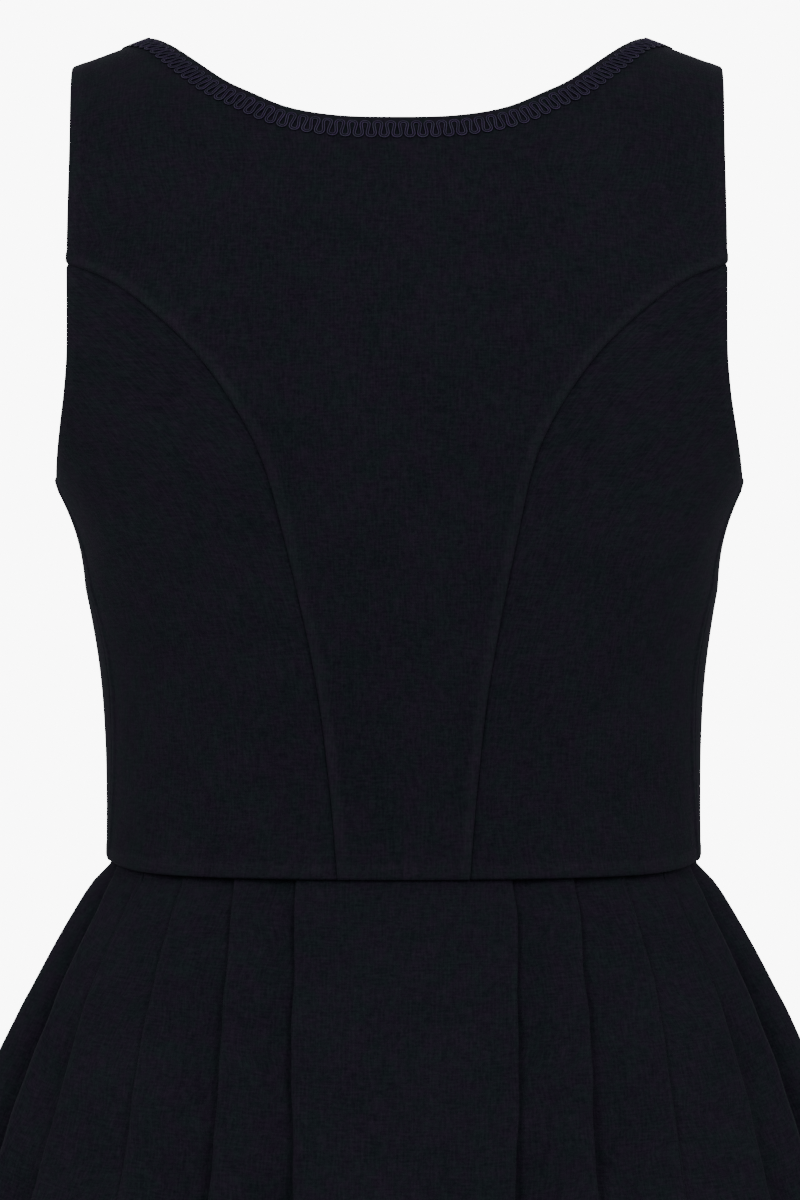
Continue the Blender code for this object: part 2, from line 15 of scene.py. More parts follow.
import bpy
import numpy as np
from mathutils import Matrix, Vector


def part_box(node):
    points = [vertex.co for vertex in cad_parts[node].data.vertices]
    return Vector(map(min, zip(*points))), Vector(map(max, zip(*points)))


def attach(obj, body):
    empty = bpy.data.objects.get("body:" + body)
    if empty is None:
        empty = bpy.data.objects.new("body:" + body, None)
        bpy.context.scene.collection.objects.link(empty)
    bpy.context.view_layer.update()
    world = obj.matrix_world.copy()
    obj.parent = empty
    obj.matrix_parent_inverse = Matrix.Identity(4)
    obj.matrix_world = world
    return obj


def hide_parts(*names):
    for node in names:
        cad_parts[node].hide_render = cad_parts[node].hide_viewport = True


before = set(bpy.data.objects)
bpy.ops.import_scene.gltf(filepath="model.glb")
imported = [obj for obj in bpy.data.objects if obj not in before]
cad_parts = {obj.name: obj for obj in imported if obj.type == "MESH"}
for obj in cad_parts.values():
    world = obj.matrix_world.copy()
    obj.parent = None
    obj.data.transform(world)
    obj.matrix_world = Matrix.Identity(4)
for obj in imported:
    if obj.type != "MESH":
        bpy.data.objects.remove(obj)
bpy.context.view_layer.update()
WAIST_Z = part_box("back_center")[0].z
HEM_DROP = WAIST_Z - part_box("skirt_back")[0].z

LOG = logging.getLogger("dirndl")
BODY = "root"
MM = 0.001
CLOTH_MAP = "cloth"  # where a point lies on its flat cloth, in metres
# The press makes the cloth glossier, and it is also a painted highlight that paints pressed cloth lighter.
PRESS_AND_HIGHLIGHT = "press"  # how hard the iron has flattened the cloth there, from 0 to 1

Array = np.ndarray
Leg = Callable[[Array], Array]  # share of the way along a panel's edge -> angle and travel on the form


class Side(Enum):
    """Which way a part of the garment faces."""

    BACK = 1.0
    FRONT = -1.0


class Hand(Enum):
    """The wearer's left or right."""

    LEFT = 1.0
    RIGHT = -1.0


class Part(Enum):
    """Which panel of a quarter of the bodice."""

    CENTER = "center"
    SIDE = "side"


Corner = tuple[Side, Hand]  # a quarter of the garment


def smooth_step(value: Array, low: float, high: float) -> Array:
    """An eased rise from 0 to 1.

    Args:
        value: Places to read it at.
        low: Place where it leaves 0.
        high: Place where it reaches 1; it may be below low.

    Returns:
        The eased shares.
    """
    share = np.clip((np.asarray(value, float) - low) / (high - low), 0.0, 1.0)
    return share * share * (3 - 2 * share)


def carried(share: Array, start: Array, leave: Array, end: Array, arrive: Array) -> Array:
    """Values on the smooth way from one value to another.

    Args:
        share: Shares of the way.
        start: The first value.
        leave: Slope with which it is left.
        end: The last value.
        arrive: Slope with which it is reached.

    Returns:
        The value at each share.
    """
    square, cube = share**2, share**3
    out = start * (2 * cube - 3 * square + 1) + leave * (cube - 2 * square + share)
    return out + end * (3 * square - 2 * cube) + arrive * (cube - square)


class SmoothCurve:
    """A smooth curve through a short table of places and values."""

    def __init__(self, places: Sequence[float], values: Sequence[float]) -> None:
        """Works out the slope at each place.

        Args:
            places: Rising places.
            values: The value at each place.
        """
        self.places = np.array(places, float)
        self.values = np.array(values, float)
        rows = np.arange(len(self.places))
        low, high = np.maximum(rows - 1, 0), np.minimum(rows + 1, rows[-1])
        self.slopes = (self.values[high] - self.values[low]) / (self.places[high] - self.places[low])

    def __call__(self, place: Array | float) -> Array:
        """Reads the curve.

        Args:
            place: One place or many.

        Returns:
            The value at each.
        """
        place = np.asarray(place, float)
        at = np.clip(np.searchsorted(self.places, place, side="right") - 1, 0, len(self.places) - 2)
        step = self.places[at + 1] - self.places[at]
        share = np.clip((place - self.places[at]) / step, 0.0, 1.0)
        leave, arrive = (self.slopes[at + i] * step for i in (0, 1))
        return carried(share, self.values[at], leave, self.values[at + 1], arrive)


@dataclass(frozen=True)
class Ring:
    """A level section of the bodice."""

    height: float
    half_width: float
    back: float
    front: float


FORM_RINGS = (
    Ring(-0.010, 0.1390, 0.0980, 0.1040),
    Ring(0.030, 0.1387, 0.0985, 0.1050),
    Ring(0.060, 0.1392, 0.1010, 0.1090),
    Ring(0.090, 0.1412, 0.1045, 0.1160),
    Ring(0.120, 0.1457, 0.1085, 0.1265),
    Ring(0.150, 0.1521, 0.1125, 0.1365),
    Ring(0.180, 0.1603, 0.1155, 0.1420),
    Ring(0.210, 0.1690, 0.1165, 0.1400),
    Ring(0.250, 0.1775, 0.1140, 0.1290),
    Ring(0.290, 0.1825, 0.1070, 0.1150),
    Ring(0.3860, 0.1825, 0.1000, 0.1000),
)


@dataclass
class TorsoForm:
    """The general figure that the bodice keeps the shape of."""

    rings: tuple[Ring, ...] = FORM_RINGS
    ridge_height: float = 0.3860  # where the straps turn over the shoulders
    shoulder_start: float = 0.290  # height from which back and front lean together
    underarm_height: float = 0.180
    shoulder_fall: float = 0.37  # slope of the straps, outward from their inner edge
    strap_inner: float = 0.115
    climb_start: float = 0.24  # height from which they begin to slope
    form_power: float = 2.2  # 2 is an ellipse, and more is squarer
    cap_power: float = 0.62  # how roundly back and front lean together
    bust_across: float = 0.084
    bust_height: float = 0.166
    bust_radius: float = 0.050
    bust_rise: float = 0.015
    side_rise: float = 0.005  # how much higher the waist seam runs at the sides
    side_rise_power: float = 14.0
    side_rise_fade: float = 0.060

    def __post_init__(self) -> None:
        """Prepares the curves through the rings."""
        heights = [ring.height for ring in self.rings]
        self.half_width = SmoothCurve(heights, [ring.half_width for ring in self.rings])
        self.back_depth = SmoothCurve(heights, [ring.back for ring in self.rings])
        self.front_depth = SmoothCurve(heights, [ring.front for ring in self.rings])
        self.rise = self.ridge_height - self.shoulder_start
        self.ridge_travel = self.shoulder_start + self.rise * math.pi / 2

    def height_of(self, travel: Array) -> Array:
        """Height at a way up the cloth, which slows down as the cloth turns over the shoulder.

        Args:
            travel: The way up from the waist seam.

        Returns:
            Height above the waist seam.
        """
        over = np.clip((travel - self.shoulder_start) / self.rise, 0.0, math.pi / 2)
        turned = self.shoulder_start + self.rise * np.sin(over)
        return np.where(travel <= self.shoulder_start, travel, turned)

    def travel_of(self, height: Array) -> Array:
        """The way up the cloth at a height.

        Args:
            height: Height above the waist seam.

        Returns:
            The way up from the waist seam.
        """
        over = np.clip((height - self.shoulder_start) / self.rise, 0.0, 1.0)
        turned = self.shoulder_start + self.rise * np.arcsin(over)
        return np.where(height <= self.shoulder_start, height, turned)

    def lifted_side(self, share: Array, height: Array | float) -> Array:
        """How far the waist's rise at the sides lifts the cloth.

        Args:
            share: Share of the half width.
            height: Height from the waist seam, upward or downward.

        Returns:
            The lift.
        """
        near = np.clip(1 - np.abs(height) / self.side_rise_fade, 0.0, 1.0)
        return self.side_rise * np.clip(share, 0.0, 1.0) ** self.side_rise_power * near**2

    def depth(self, height: Array, back: Array | bool) -> Array:
        """Depth from the side line.

        Args:
            height: Height above the waist seam.
            back: Whether each point is on the back.

        Returns:
            The depth at the middle of that side.
        """
        full = np.where(back, self.back_depth(height), self.front_depth(height))
        over = np.clip((height - self.shoulder_start) / self.rise, 0.0, 1.0)
        return full * (1 - over**2) ** self.cap_power

    def angle_across(self, across: Array, height: Array, side: Side) -> Array:
        """Angle round the form of a point that lies a distance from the middle.

        Args:
            across: Distance from the middle.
            height: Height above the waist seam.
            side: Back or front.

        Returns:
            Angle from the side line, positive on the back and negative on the front.
        """
        share = np.minimum(np.abs(across) / self.half_width(height), 1.0)
        return side.value * np.arccos(share ** (self.form_power / 2))

    def angle_behind(self, behind: Array, height: Array) -> Array:
        """Angle round the form of a point that lies behind the side line.

        Args:
            behind: Distance behind the side line.
            height: Height above the waist seam.

        Returns:
            Angle from the side line.
        """
        return np.arcsin((behind / self.depth(height, True)) ** (self.form_power / 2))

    def point(self, spot: Array) -> Array:
        """Points of the form's left half.

        Args:
            spot: Angle and travel in the last axis.

        Returns:
            Positions in the last axis.
        """
        angle, travel = spot[..., 0], spot[..., 1]
        height = self.height_of(travel)
        power = 2 / self.form_power
        across = np.maximum(np.cos(angle), 0.0) ** power
        x = self.half_width(height) * across
        y = self.depth(height, angle >= 0) * np.abs(np.sin(angle)) ** power * np.where(angle >= 0, 1, -1)
        away = ((x - self.bust_across) ** 2 + (height - self.bust_height) ** 2) / self.bust_radius**2
        y = y - self.bust_rise * np.exp(-away) * np.maximum(np.sin(-angle), 0.0)
        climb = np.maximum(height - self.climb_start, 0.0) / (self.ridge_height - self.climb_start)
        fall = self.shoulder_fall * np.maximum(x - self.strap_inner, 0.0) * climb**2
        lift = self.lifted_side(across, height) - fall
        return np.stack((x, y, height + lift + WAIST_Z), axis=-1)


@dataclass(frozen=True)
class SeamPoint:
    """A point of a seam or edge drawn on the form."""

    height: float
    across: float


@dataclass(frozen=True)
class NeckPoint:
    """A point of the neckline: from the middle, and down from the ridge, positive on the back."""

    across: float
    run: float


BACK_PRINCESS = (
    SeamPoint(0.000, 0.0300),
    SeamPoint(0.038, 0.0331),
    SeamPoint(0.092, 0.0397),
    SeamPoint(0.164, 0.0546),
    SeamPoint(0.191, 0.0620),
    SeamPoint(0.213, 0.0730),
    SeamPoint(0.238, 0.0911),
    SeamPoint(0.258, 0.1124),
    SeamPoint(0.272, 0.1321),
    SeamPoint(0.280, 0.1508),
)
FRONT_PRINCESS = (
    SeamPoint(0.000, 0.0560),
    SeamPoint(0.060, 0.0640),
    SeamPoint(0.120, 0.0780),
    SeamPoint(0.166, 0.0860),
    SeamPoint(0.205, 0.0900),
    SeamPoint(0.238, 0.1040),
    SeamPoint(0.262, 0.1260),
    SeamPoint(0.280, 0.1508),
)
ARMHOLE = (
    SeamPoint(0.180, 0.1596),
    SeamPoint(0.194, 0.1574),
    SeamPoint(0.208, 0.1549),
    SeamPoint(0.222, 0.1527),
    SeamPoint(0.240, 0.1511),
    SeamPoint(0.285, 0.1507),
    SeamPoint(0.340, 0.1502),
    SeamPoint(0.3860, 0.1515),
)
SIDE_SEAM_BEHIND = (  # how far behind the side line, in place of across
    SeamPoint(0.000, 0.018),
    SeamPoint(0.050, 0.029),
    SeamPoint(0.100, 0.034),
    SeamPoint(0.140, 0.026),
    SeamPoint(0.180, 0.0145),
)
NECKLINE = (
    NeckPoint(0.0000, 0.0922),
    NeckPoint(0.0267, 0.0912),
    NeckPoint(0.0487, 0.0864),
    NeckPoint(0.0654, 0.0770),
    NeckPoint(0.0818, 0.0640),
    NeckPoint(0.1000, 0.0372),
    NeckPoint(0.1150, 0.0000),
    NeckPoint(0.1175, -0.0300),
    NeckPoint(0.1160, -0.0700),
    NeckPoint(0.1110, -0.1100),
    NeckPoint(0.1010, -0.1500),
    NeckPoint(0.0820, -0.1820),
    NeckPoint(0.0480, -0.2010),
    NeckPoint(0.0000, -0.2080),
)


def drawn_curve(rows: Sequence[SeamPoint]) -> SmoothCurve:
    """The curve through a seam's points."""
    return SmoothCurve([row.height for row in rows], [row.across for row in rows])


def joined(first: Leg, second: Leg, share_of_first: float) -> Leg:
    """Two edges walked one after the other.

    Args:
        first: The lower edge.
        second: The upper edge.
        share_of_first: Share of the walk that lies on the lower one.

    Returns:
        The whole edge.
    """

    def leg(share: Array) -> Array:
        """Walks the lower edge, then the upper.

        Args:
            share: Shares of the way.

        Returns:
            Angle and travel at each.
        """
        low = first(np.clip(share / share_of_first, 0.0, 1.0))
        high = second(np.clip((share - share_of_first) / (1 - share_of_first), 0.0, 1.0))
        return np.where((share <= share_of_first)[..., None], low, high)

    return leg


def straight(start: Array, end: Array) -> Leg:
    """An edge straight from one place on the form to another."""
    return lambda share: start + np.asarray(share, float)[..., None] * (end - start)


@dataclass
class PatternCurves:
    """Every edge of the bodice's panels, drawn on the form."""

    form: TorsoForm
    seam_ease: float = 1.7  # more than 1 crowds the princess seam's rows into its curved top
    seam_share: float = 0.62  # share of the back's rows that lie below the princess seam's top
    front_neck_share: float = 0.62 * 5 / 9  # share of the front's rows that lie below its neckline
    ridge_edge: float = 0.5 * MM  # from the shoulder seam to the ridge
    neck_ridge_row: int = 6  # row of NECKLINE that lies on the ridge
    underarm_share: float = 0.22  # share of the front's armhole that is its level bottom
    underarm_dip: float = 1.6 * MM
    underarm_climb: float = 4.0 * MM
    underarm_ease: float = 1.4

    def __post_init__(self) -> None:
        """Prepares the curves through the tables."""
        self.armhole = drawn_curve(ARMHOLE)
        self.behind = drawn_curve(SIDE_SEAM_BEHIND)
        self.princess = {Side.BACK: drawn_curve(BACK_PRINCESS), Side.FRONT: drawn_curve(FRONT_PRINCESS)}
        self.princess_top = BACK_PRINCESS[-1].height

    def seam_leg(self, side: Side) -> Leg:
        """The princess seam from the waist to the armhole.

        Args:
            side: Back or front.

        Returns:
            The seam.
        """

        def leg(share: Array) -> Array:
            """Climbs the seam.

            Args:
                share: Shares of the way.

            Returns:
                Angle and travel at each.
            """
            height = self.princess_top * (1 - (1 - share) ** self.seam_ease)
            angle = self.form.angle_across(self.princess[side](height), height, side)
            return np.stack((angle, self.form.travel_of(height)), axis=-1)

        return leg

    def side_leg(self, share: Array) -> Array:
        """The side seam from the waist to the underarm.

        Args:
            share: Shares of the way.

        Returns:
            Angle and travel at each.
        """
        height = share * self.form.underarm_height
        angle = self.form.angle_behind(self.behind(height), height)
        return np.stack((angle, self.form.travel_of(height)), axis=-1)

    def armhole_leg(self, start: float, end: float, side: Side) -> Leg:
        """The armhole edge between two heights.

        Args:
            start: Lower height.
            end: Upper height.
            side: Back or front.

        Returns:
            The edge.
        """
        low, high = (float(self.form.travel_of(np.array(h))) for h in (start, end))

        def leg(share: Array) -> Array:
            """Climbs the armhole.

            Args:
                share: Shares of the way.

            Returns:
                Angle and travel at each.
            """
            travel = low + share * (high - low)
            height = self.form.height_of(travel)
            return np.stack((self.form.angle_across(self.armhole(height), height, side), travel), axis=-1)

        return leg

    def underarm_leg(self, share: Array) -> Array:
        """The front of the armhole, from the side seam round its lowest point and up to the seam.

        Args:
            share: Shares of the way.

        Returns:
            Angle and travel at each.
        """
        bottom = self.underarm_share
        low = self.form.underarm_height + self.underarm_climb
        climb = self.armhole_leg(low, self.princess_top, Side.FRONT)
        start, end = self.side_leg(np.array(1.0)), climb(np.array(0.0))
        part = np.clip(share / bottom, 0.0, 1.0)
        low = start + part[..., None] * (end - start)
        low[..., 1] -= self.underarm_dip * np.sin(math.pi * part)
        high = climb(np.clip((share - bottom) / (1 - bottom), 0.0, 1.0) ** self.underarm_ease)
        return np.where((share <= bottom)[..., None], low, high)

    def neck_point(self, place: Array) -> tuple[Array, Array]:
        """The neckline at places counted in rows of its table.

        Args:
            place: Rows of the table, from the middle of the back.

        Returns:
            How far across each lies, and how far down from the ridge.
        """
        last = len(NECKLINE) - 1
        rows = np.array([(point.across, point.run) for point in NECKLINE])
        rows = np.vstack((rows[1] * (-1, 1), rows, rows[-2] * (-1, 1)))
        at = np.clip(np.asarray(place, float).astype(int), 0, last - 1)
        share = (place - at)[..., None]
        a, b, c, d = (rows[at + i] for i in range(4))
        found = 0.5 * (
            2 * b
            + (c - a) * share
            + (2 * a - 5 * b + 4 * c - d) * share**2
            + (3 * b - a - 3 * c + d) * share**3
        )
        return found[..., 0], found[..., 1]

    def neck_leg(self, side: Side) -> Leg:
        """The neckline of one side, from its middle up to the ridge.

        Args:
            side: Back or front.

        Returns:
            The edge.
        """
        middle = 0 if side is Side.BACK else len(NECKLINE) - 1

        def leg(share: Array) -> Array:
            """Climbs the neckline.

            Args:
                share: Shares of the way.

            Returns:
                Angle and travel at each.
            """
            across, run = self.neck_point(middle + share * (self.neck_ridge_row - middle))
            ridge = self.form.ridge_travel
            travel = np.minimum(ridge - np.abs(run), ridge - self.ridge_edge)
            height = self.form.height_of(travel)
            angle = self.form.angle_across(np.maximum(across, 0.0), height, side)
            return np.stack((angle, travel), axis=-1)

        return leg

    def flat_point(self, across: Array, run: Array) -> Array:
        """Points of the form given as on the flat.

        Args:
            across: From the middle, positive on the wearer's left.
            run: Down from the ridge, positive on the back.

        Returns:
            Positions.
        """
        travel = self.form.ridge_travel - np.maximum(np.abs(run), self.ridge_edge)
        height = self.form.height_of(travel)
        angle = np.where(
            run >= 0,
            self.form.angle_across(across, height, Side.BACK),
            self.form.angle_across(across, height, Side.FRONT),
        )
        point = self.form.point(np.stack((angle, travel), axis=-1))
        point[..., 0] = np.copysign(point[..., 0], across)
        return point


EDGE_STEPS = tuple(step * MM for step in (0.0, 0.3, 0.7, 1.2, 1.8, 2.5, 3.3, 4.1, 4.9, 5.7, 6.7, 8.2, 10.5))
EDGE_SHARE = 0.4  # share of a short line that the close steps at one end may take
UP_TRIALS, OVER_TRIALS = 401, 61  # points that measure a panel's ways before its rows are spaced


def stations(length: Array, inner: int) -> Array:
    """Distances along lines of cloth, close together by both edges, where it is turned and pressed.

    Args:
        length: Length of each line.
        inner: Number of even steps between the close ones.

    Returns:
        A row of distances for each line.
    """
    length = np.atleast_1d(length)[:, None]
    near = np.array(EDGE_STEPS)[None, :] * np.minimum(1.0, EDGE_SHARE * length / EDGE_STEPS[-1])
    evenly = np.arange(1, inner) / inner
    middle = near[:, -1:] + (length - 2 * near[:, -1:]) * evenly
    return np.hstack((near, middle, length - near[:, ::-1]))


def walked(points: Array, axis: int) -> Array:
    """How far each point lies along its line.

    Args:
        points: Rows and columns of positions.
        axis: 0 up the columns, 1 along the rows.

    Returns:
        The distance of each from the start of its line.
    """
    steps = np.linalg.norm(np.diff(points, axis=axis), axis=-1)
    pad = [(0, 0), (0, 0)]
    pad[axis] = (1, 0)
    return np.cumsum(np.pad(steps, pad), axis=axis)


def unit(steps: Array) -> Array:
    """Steps made one long."""
    return steps / np.maximum(np.linalg.norm(steps, axis=-1, keepdims=True), 1e-12)


def outward_normals(points: Array) -> Array:
    """Unit normals of a grid of points that face away from the garment's middle.

    Args:
        points: Rows and columns of positions.

    Returns:
        A normal for each.
    """
    normals = np.cross(np.gradient(points, axis=1), np.gradient(points, axis=0))
    normals /= np.maximum(np.linalg.norm(normals, axis=-1, keepdims=True), 1e-12)
    facing = np.sum(normals[..., :2] * points[..., :2])
    return normals if facing > 0 else -normals


def way_from(points: Array, line: Array) -> Array:
    """Distance of each point from an edge.

    Args:
        points: Rows and columns of positions.
        line: Positions along the edge.

    Returns:
        The distance of each.
    """
    start, step = line[:-1], np.diff(line, axis=0)
    square = np.maximum(np.sum(step**2, axis=-1), 1e-12)
    offset = points.reshape(-1, 1, 3) - start
    share = np.clip(np.sum(offset * step, axis=-1) / square, 0.0, 1.0)
    ways = np.linalg.norm(offset - share[..., None] * step, axis=-1)
    return ways.min(axis=1).reshape(points.shape[:-1])


@dataclass
class PanelGrid:
    """A panel's grid on the form, for the left one of its pair."""

    points: Array
    spots: Array  # angle and travel
    place: Array  # on the flat cloth

    @classmethod
    def between(
        cls, form: TorsoForm, top: Leg, first: Leg, last: Leg, rows: int, columns: int, knot: float = 1.0
    ) -> "PanelGrid":
        """Fills the space between two upright edges, its rows bending upward to follow the top edge.

        Args:
            form: What the cloth lies on.
            top: The top edge, from the first edge to the last.
            first: The edge nearer the panel's middle.
            last: The other edge.
            rows: Even steps up the panel between its close ones.
            columns: Even steps across it.
            knot: Share of the way up where the first edge turns, and the rows lie close again.

        Returns:
            The grid.
        """
        low, high = top(np.array([0.0, 1.0]))

        def spot(over: Array, up: Array) -> Array:
            """Angle and travel at shares over and up the panel.

            Args:
                over: Shares from the inner edge to the outer.
                up: Shares of the way up.

            Returns:
                Angle and travel of each.
            """
            part = over[..., None]
            ruled = (1 - part) * first(up) + part * last(up)
            return ruled + up[..., None] * (top(over) - (1 - part) * low - part * high)

        trial = np.linspace(0.0, 1.0, UP_TRIALS)
        way = walked(form.point(spot(np.zeros_like(trial), trial))[:, None], 0)[:, 0]
        turn = float(np.interp(knot, trial, way))
        stretches = [turn] if knot == 1.0 else [turn, way[-1] - turn]
        ups = []
        for i, stretch in enumerate(stretches):
            steps = stations(np.array(stretch), max(round(rows * stretch / way[-1]), 4))[0]
            ups.append(np.interp(steps[min(i, 1) :] + i * turn, way, trial))
        up = np.concatenate(ups)
        over_trial = np.linspace(0.0, 1.0, OVER_TRIALS)
        ways = walked(form.point(spot(*np.meshgrid(over_trial, up))), 1)
        wanted = stations(ways[:, -1], columns)
        over = np.array([np.interp(wish, row, over_trial) for wish, row in zip(wanted, ways)])
        spots = spot(over, np.broadcast_to(up[:, None], over.shape))
        points = form.point(spots)
        along = walked(points, 1) + points[:, :1, 0]
        return cls(points, spots, np.stack((along, spots[..., 1]), axis=-1))


@dataclass(frozen=True)
class Crease:
    """A soft trough, or a ridge where its rise is above zero, bowed between its two ends."""

    start: tuple[float, float]  # from the middle, positive on the wearer's left, and height
    end: tuple[float, float]
    rise: float
    width: float
    bow: float = 0.0

    def lift(self, across: Array, height: Array) -> Array:
        """How far the crease moves the cloth out.

        Args:
            across: Each point's place from the middle.
            height: Each point's height above the waist seam.

        Returns:
            The lift of each.
        """
        line = np.subtract(self.end, self.start)
        length = math.hypot(*line)
        line = line / length
        from_start = across - self.start[0], height - self.start[1]
        along = (from_start[0] * line[0] + from_start[1] * line[1]) / length
        aside = from_start[1] * line[0] - from_start[0] * line[1]
        arch = np.sin(math.pi * np.clip(along, 0.0, 1.0))
        return self.rise * arch * np.exp(-(((aside - self.bow * arch) / self.width) ** 2))


@dataclass(frozen=True)
class Tailoring:
    """How far seams and turned edges stand out or roll under."""

    allowance: float = 5.0 * MM  # width of the pressed allowance under a princess seam
    allowance_rise: float = 0.60 * MM
    roll: float = 1.00 * MM  # how far the upper panel's edge rolls under
    roll_width: float = 0.65 * MM
    tuck: float = 1.10 * MM  # how far the lower panel's edge dips
    tuck_width: float = 1.2 * MM
    turning: float = 7.0 * MM  # width of the cloth turned in along an edge
    turning_rise: float = 0.22 * MM
    turning_roll: float = 0.6  # its roll beside a seam's
    turning_press_and_highlight: float = 0.6  # its press beside a seam's
    fade: float = 1.3 * MM  # over which an allowance ends

    def over_seam(self, way: Array) -> Array:
        """Lift of the panel that lies on top, at a way from its seam."""
        ridge = smooth_step(way, self.allowance + self.fade, self.allowance - self.fade)
        return self.allowance_rise * ridge - self.roll * np.exp(-((way / self.roll_width) ** 2))

    def under_seam(self, way: Array) -> Array:
        """Lift of the panel that the other lies over."""
        return -self.tuck * np.exp(-((way / self.tuck_width) ** 2))

    def turned(self, way: Array) -> Array:
        """Lift along an edge that is turned in and stitched down inside.

        Args:
            way: Each point's way from the edge.

        Returns:
            The lift of each.
        """
        ridge = smooth_step(way, self.turning + self.fade, self.turning - self.fade)
        rolled = self.turning_roll * self.roll * np.exp(-((way / self.roll_width) ** 2))
        return self.turning_rise * ridge - rolled

    def pressed(self, way: Array, width: float) -> Array:
        """How far the iron has flattened the cloth within a width of an edge."""
        return smooth_step(way, width + self.fade, width - self.fade)

    def turning_pressed(self, way: Array) -> Array:
        """How far it has flattened a turned edge."""
        return self.turning_press_and_highlight * self.pressed(way, self.turning)


SIDE_HOLLOWS = (  # below the underarms, where the cloth is drawn in
    Crease((0.156, 0.174), (0.146, 0.130), -1.9 * MM, 12.0 * MM),
    Crease((-0.156, 0.174), (-0.146, 0.130), -1.9 * MM, 12.0 * MM),
)
BACK_CREASES = SIDE_HOLLOWS + (
    Crease((0.148, 0.196), (0.098, 0.150), -0.9 * MM, 7.0 * MM, 4.0 * MM),
    Crease((0.151, 0.172), (0.112, 0.122), 0.7 * MM, 8.0 * MM, -3.0 * MM),
    Crease((0.132, 0.110), (0.086, 0.094), -0.5 * MM, 6.0 * MM, 3.0 * MM),
    Crease((0.136, 0.048), (0.070, 0.030), -0.7 * MM, 8.0 * MM, -5.0 * MM),
    Crease((0.128, 0.020), (0.062, 0.062), 0.6 * MM, 9.0 * MM, 5.0 * MM),
    Crease((-0.149, 0.200), (-0.106, 0.141), -0.8 * MM, 8.0 * MM, -3.0 * MM),
    Crease((-0.150, 0.160), (-0.118, 0.112), 0.6 * MM, 7.0 * MM, 4.0 * MM),
    Crease((-0.134, 0.082), (-0.078, 0.074), -0.6 * MM, 7.0 * MM, -3.0 * MM),
    Crease((-0.135, 0.032), (-0.060, 0.044), -0.6 * MM, 9.0 * MM, 4.0 * MM),
    Crease((-0.118, 0.010), (-0.070, 0.024), 0.5 * MM, 7.0 * MM),
    Crease((-0.040, 0.292), (0.046, 0.286), -0.4 * MM, 9.0 * MM, 3.0 * MM),
    Crease((0.060, 0.330), (0.126, 0.306), -0.6 * MM, 9.0 * MM, 5.0 * MM),
    Crease((-0.064, 0.324), (-0.130, 0.312), -0.5 * MM, 8.0 * MM, -5.0 * MM),
    Crease((-0.020, 0.020), (0.022, 0.028), 0.4 * MM, 7.0 * MM, 2.0 * MM),
)
FRONT_CREASES = SIDE_HOLLOWS + (
    Crease((0.146, 0.196), (0.104, 0.176), -1.0 * MM, 7.0 * MM, 4.0 * MM),
    Crease((0.142, 0.160), (0.116, 0.110), 0.8 * MM, 8.0 * MM, -4.0 * MM),
    Crease((0.128, 0.078), (0.074, 0.060), -0.8 * MM, 7.0 * MM, 4.0 * MM),
    Crease((0.120, 0.030), (0.052, 0.036), -0.7 * MM, 8.0 * MM, -4.0 * MM),
    Crease((0.010, 0.118), (0.058, 0.104), -0.6 * MM, 8.0 * MM, 3.0 * MM),
    Crease((0.008, 0.052), (0.050, 0.070), 0.5 * MM, 7.0 * MM, -3.0 * MM),
    Crease((-0.147, 0.190), (-0.110, 0.158), -0.9 * MM, 8.0 * MM, -5.0 * MM),
    Crease((-0.140, 0.140), (-0.104, 0.100), 0.6 * MM, 7.0 * MM, 3.0 * MM),
    Crease((-0.126, 0.060), (-0.066, 0.052), -0.8 * MM, 8.0 * MM, -4.0 * MM),
    Crease((-0.112, 0.018), (-0.058, 0.032), 0.6 * MM, 7.0 * MM, 2.0 * MM),
    Crease((-0.012, 0.100), (-0.056, 0.120), -0.5 * MM, 7.0 * MM, -3.0 * MM),
    Crease((-0.010, 0.034), (-0.048, 0.040), -0.5 * MM, 8.0 * MM, 3.0 * MM),
)


class Stance:
    """How the worn garment leans: its shoulders a little to the wearer's left of its waist."""

    def __init__(self) -> None:
        """Sets the lean at a few heights."""
        heights = (-0.65, -0.20, -0.09, 0.00, 0.10, 0.16, 0.22, 0.39)
        leans = (0.0, -0.3, -1.3, -1.7, -1.2, -0.2, 1.2, 1.3)
        self.lean = SmoothCurve(heights, [lean * MM for lean in leans])

    def leaned(self, points: Array) -> Array:
        """Points moved across by the lean at their height.

        Args:
            points: The upright points.

        Returns:
            The moved points.
        """
        moved = np.array(points, float)
        moved[..., 0] += self.lean(moved[..., 2] - WAIST_Z)
        return moved


def quads(ids: Array) -> Array:
    """Four-sided faces between the points of a grid."""
    corners = ids[:-1, :-1], ids[:-1, 1:], ids[1:, 1:], ids[1:, :-1]
    return np.stack(corners, axis=-1).reshape(-1, 4)


def linked(name: str, data: bpy.types.ID) -> bpy.types.Object:
    """Adds an object to the scene.

    Args:
        name: Its name.
        data: Its mesh, curve, light or camera.

    Returns:
        The object.
    """
    added = bpy.data.objects.new(name, data)
    bpy.context.scene.collection.objects.link(added)
    return added


def surfaced(
    name: str, points: Array, faces: Sequence[Sequence[int]], material: bpy.types.Material
) -> bpy.types.Object:
    """Adds a smooth mesh to the scene.

    Args:
        name: Its name.
        points: Its points.
        faces: Its faces.
        material: Its finish.

    Returns:
        The object.
    """
    mesh = bpy.data.meshes.new(name)
    mesh.from_pydata(points.tolist(), [], faces)
    mesh.shade_smooth()
    mesh.materials.append(material)
    return linked(name, mesh)


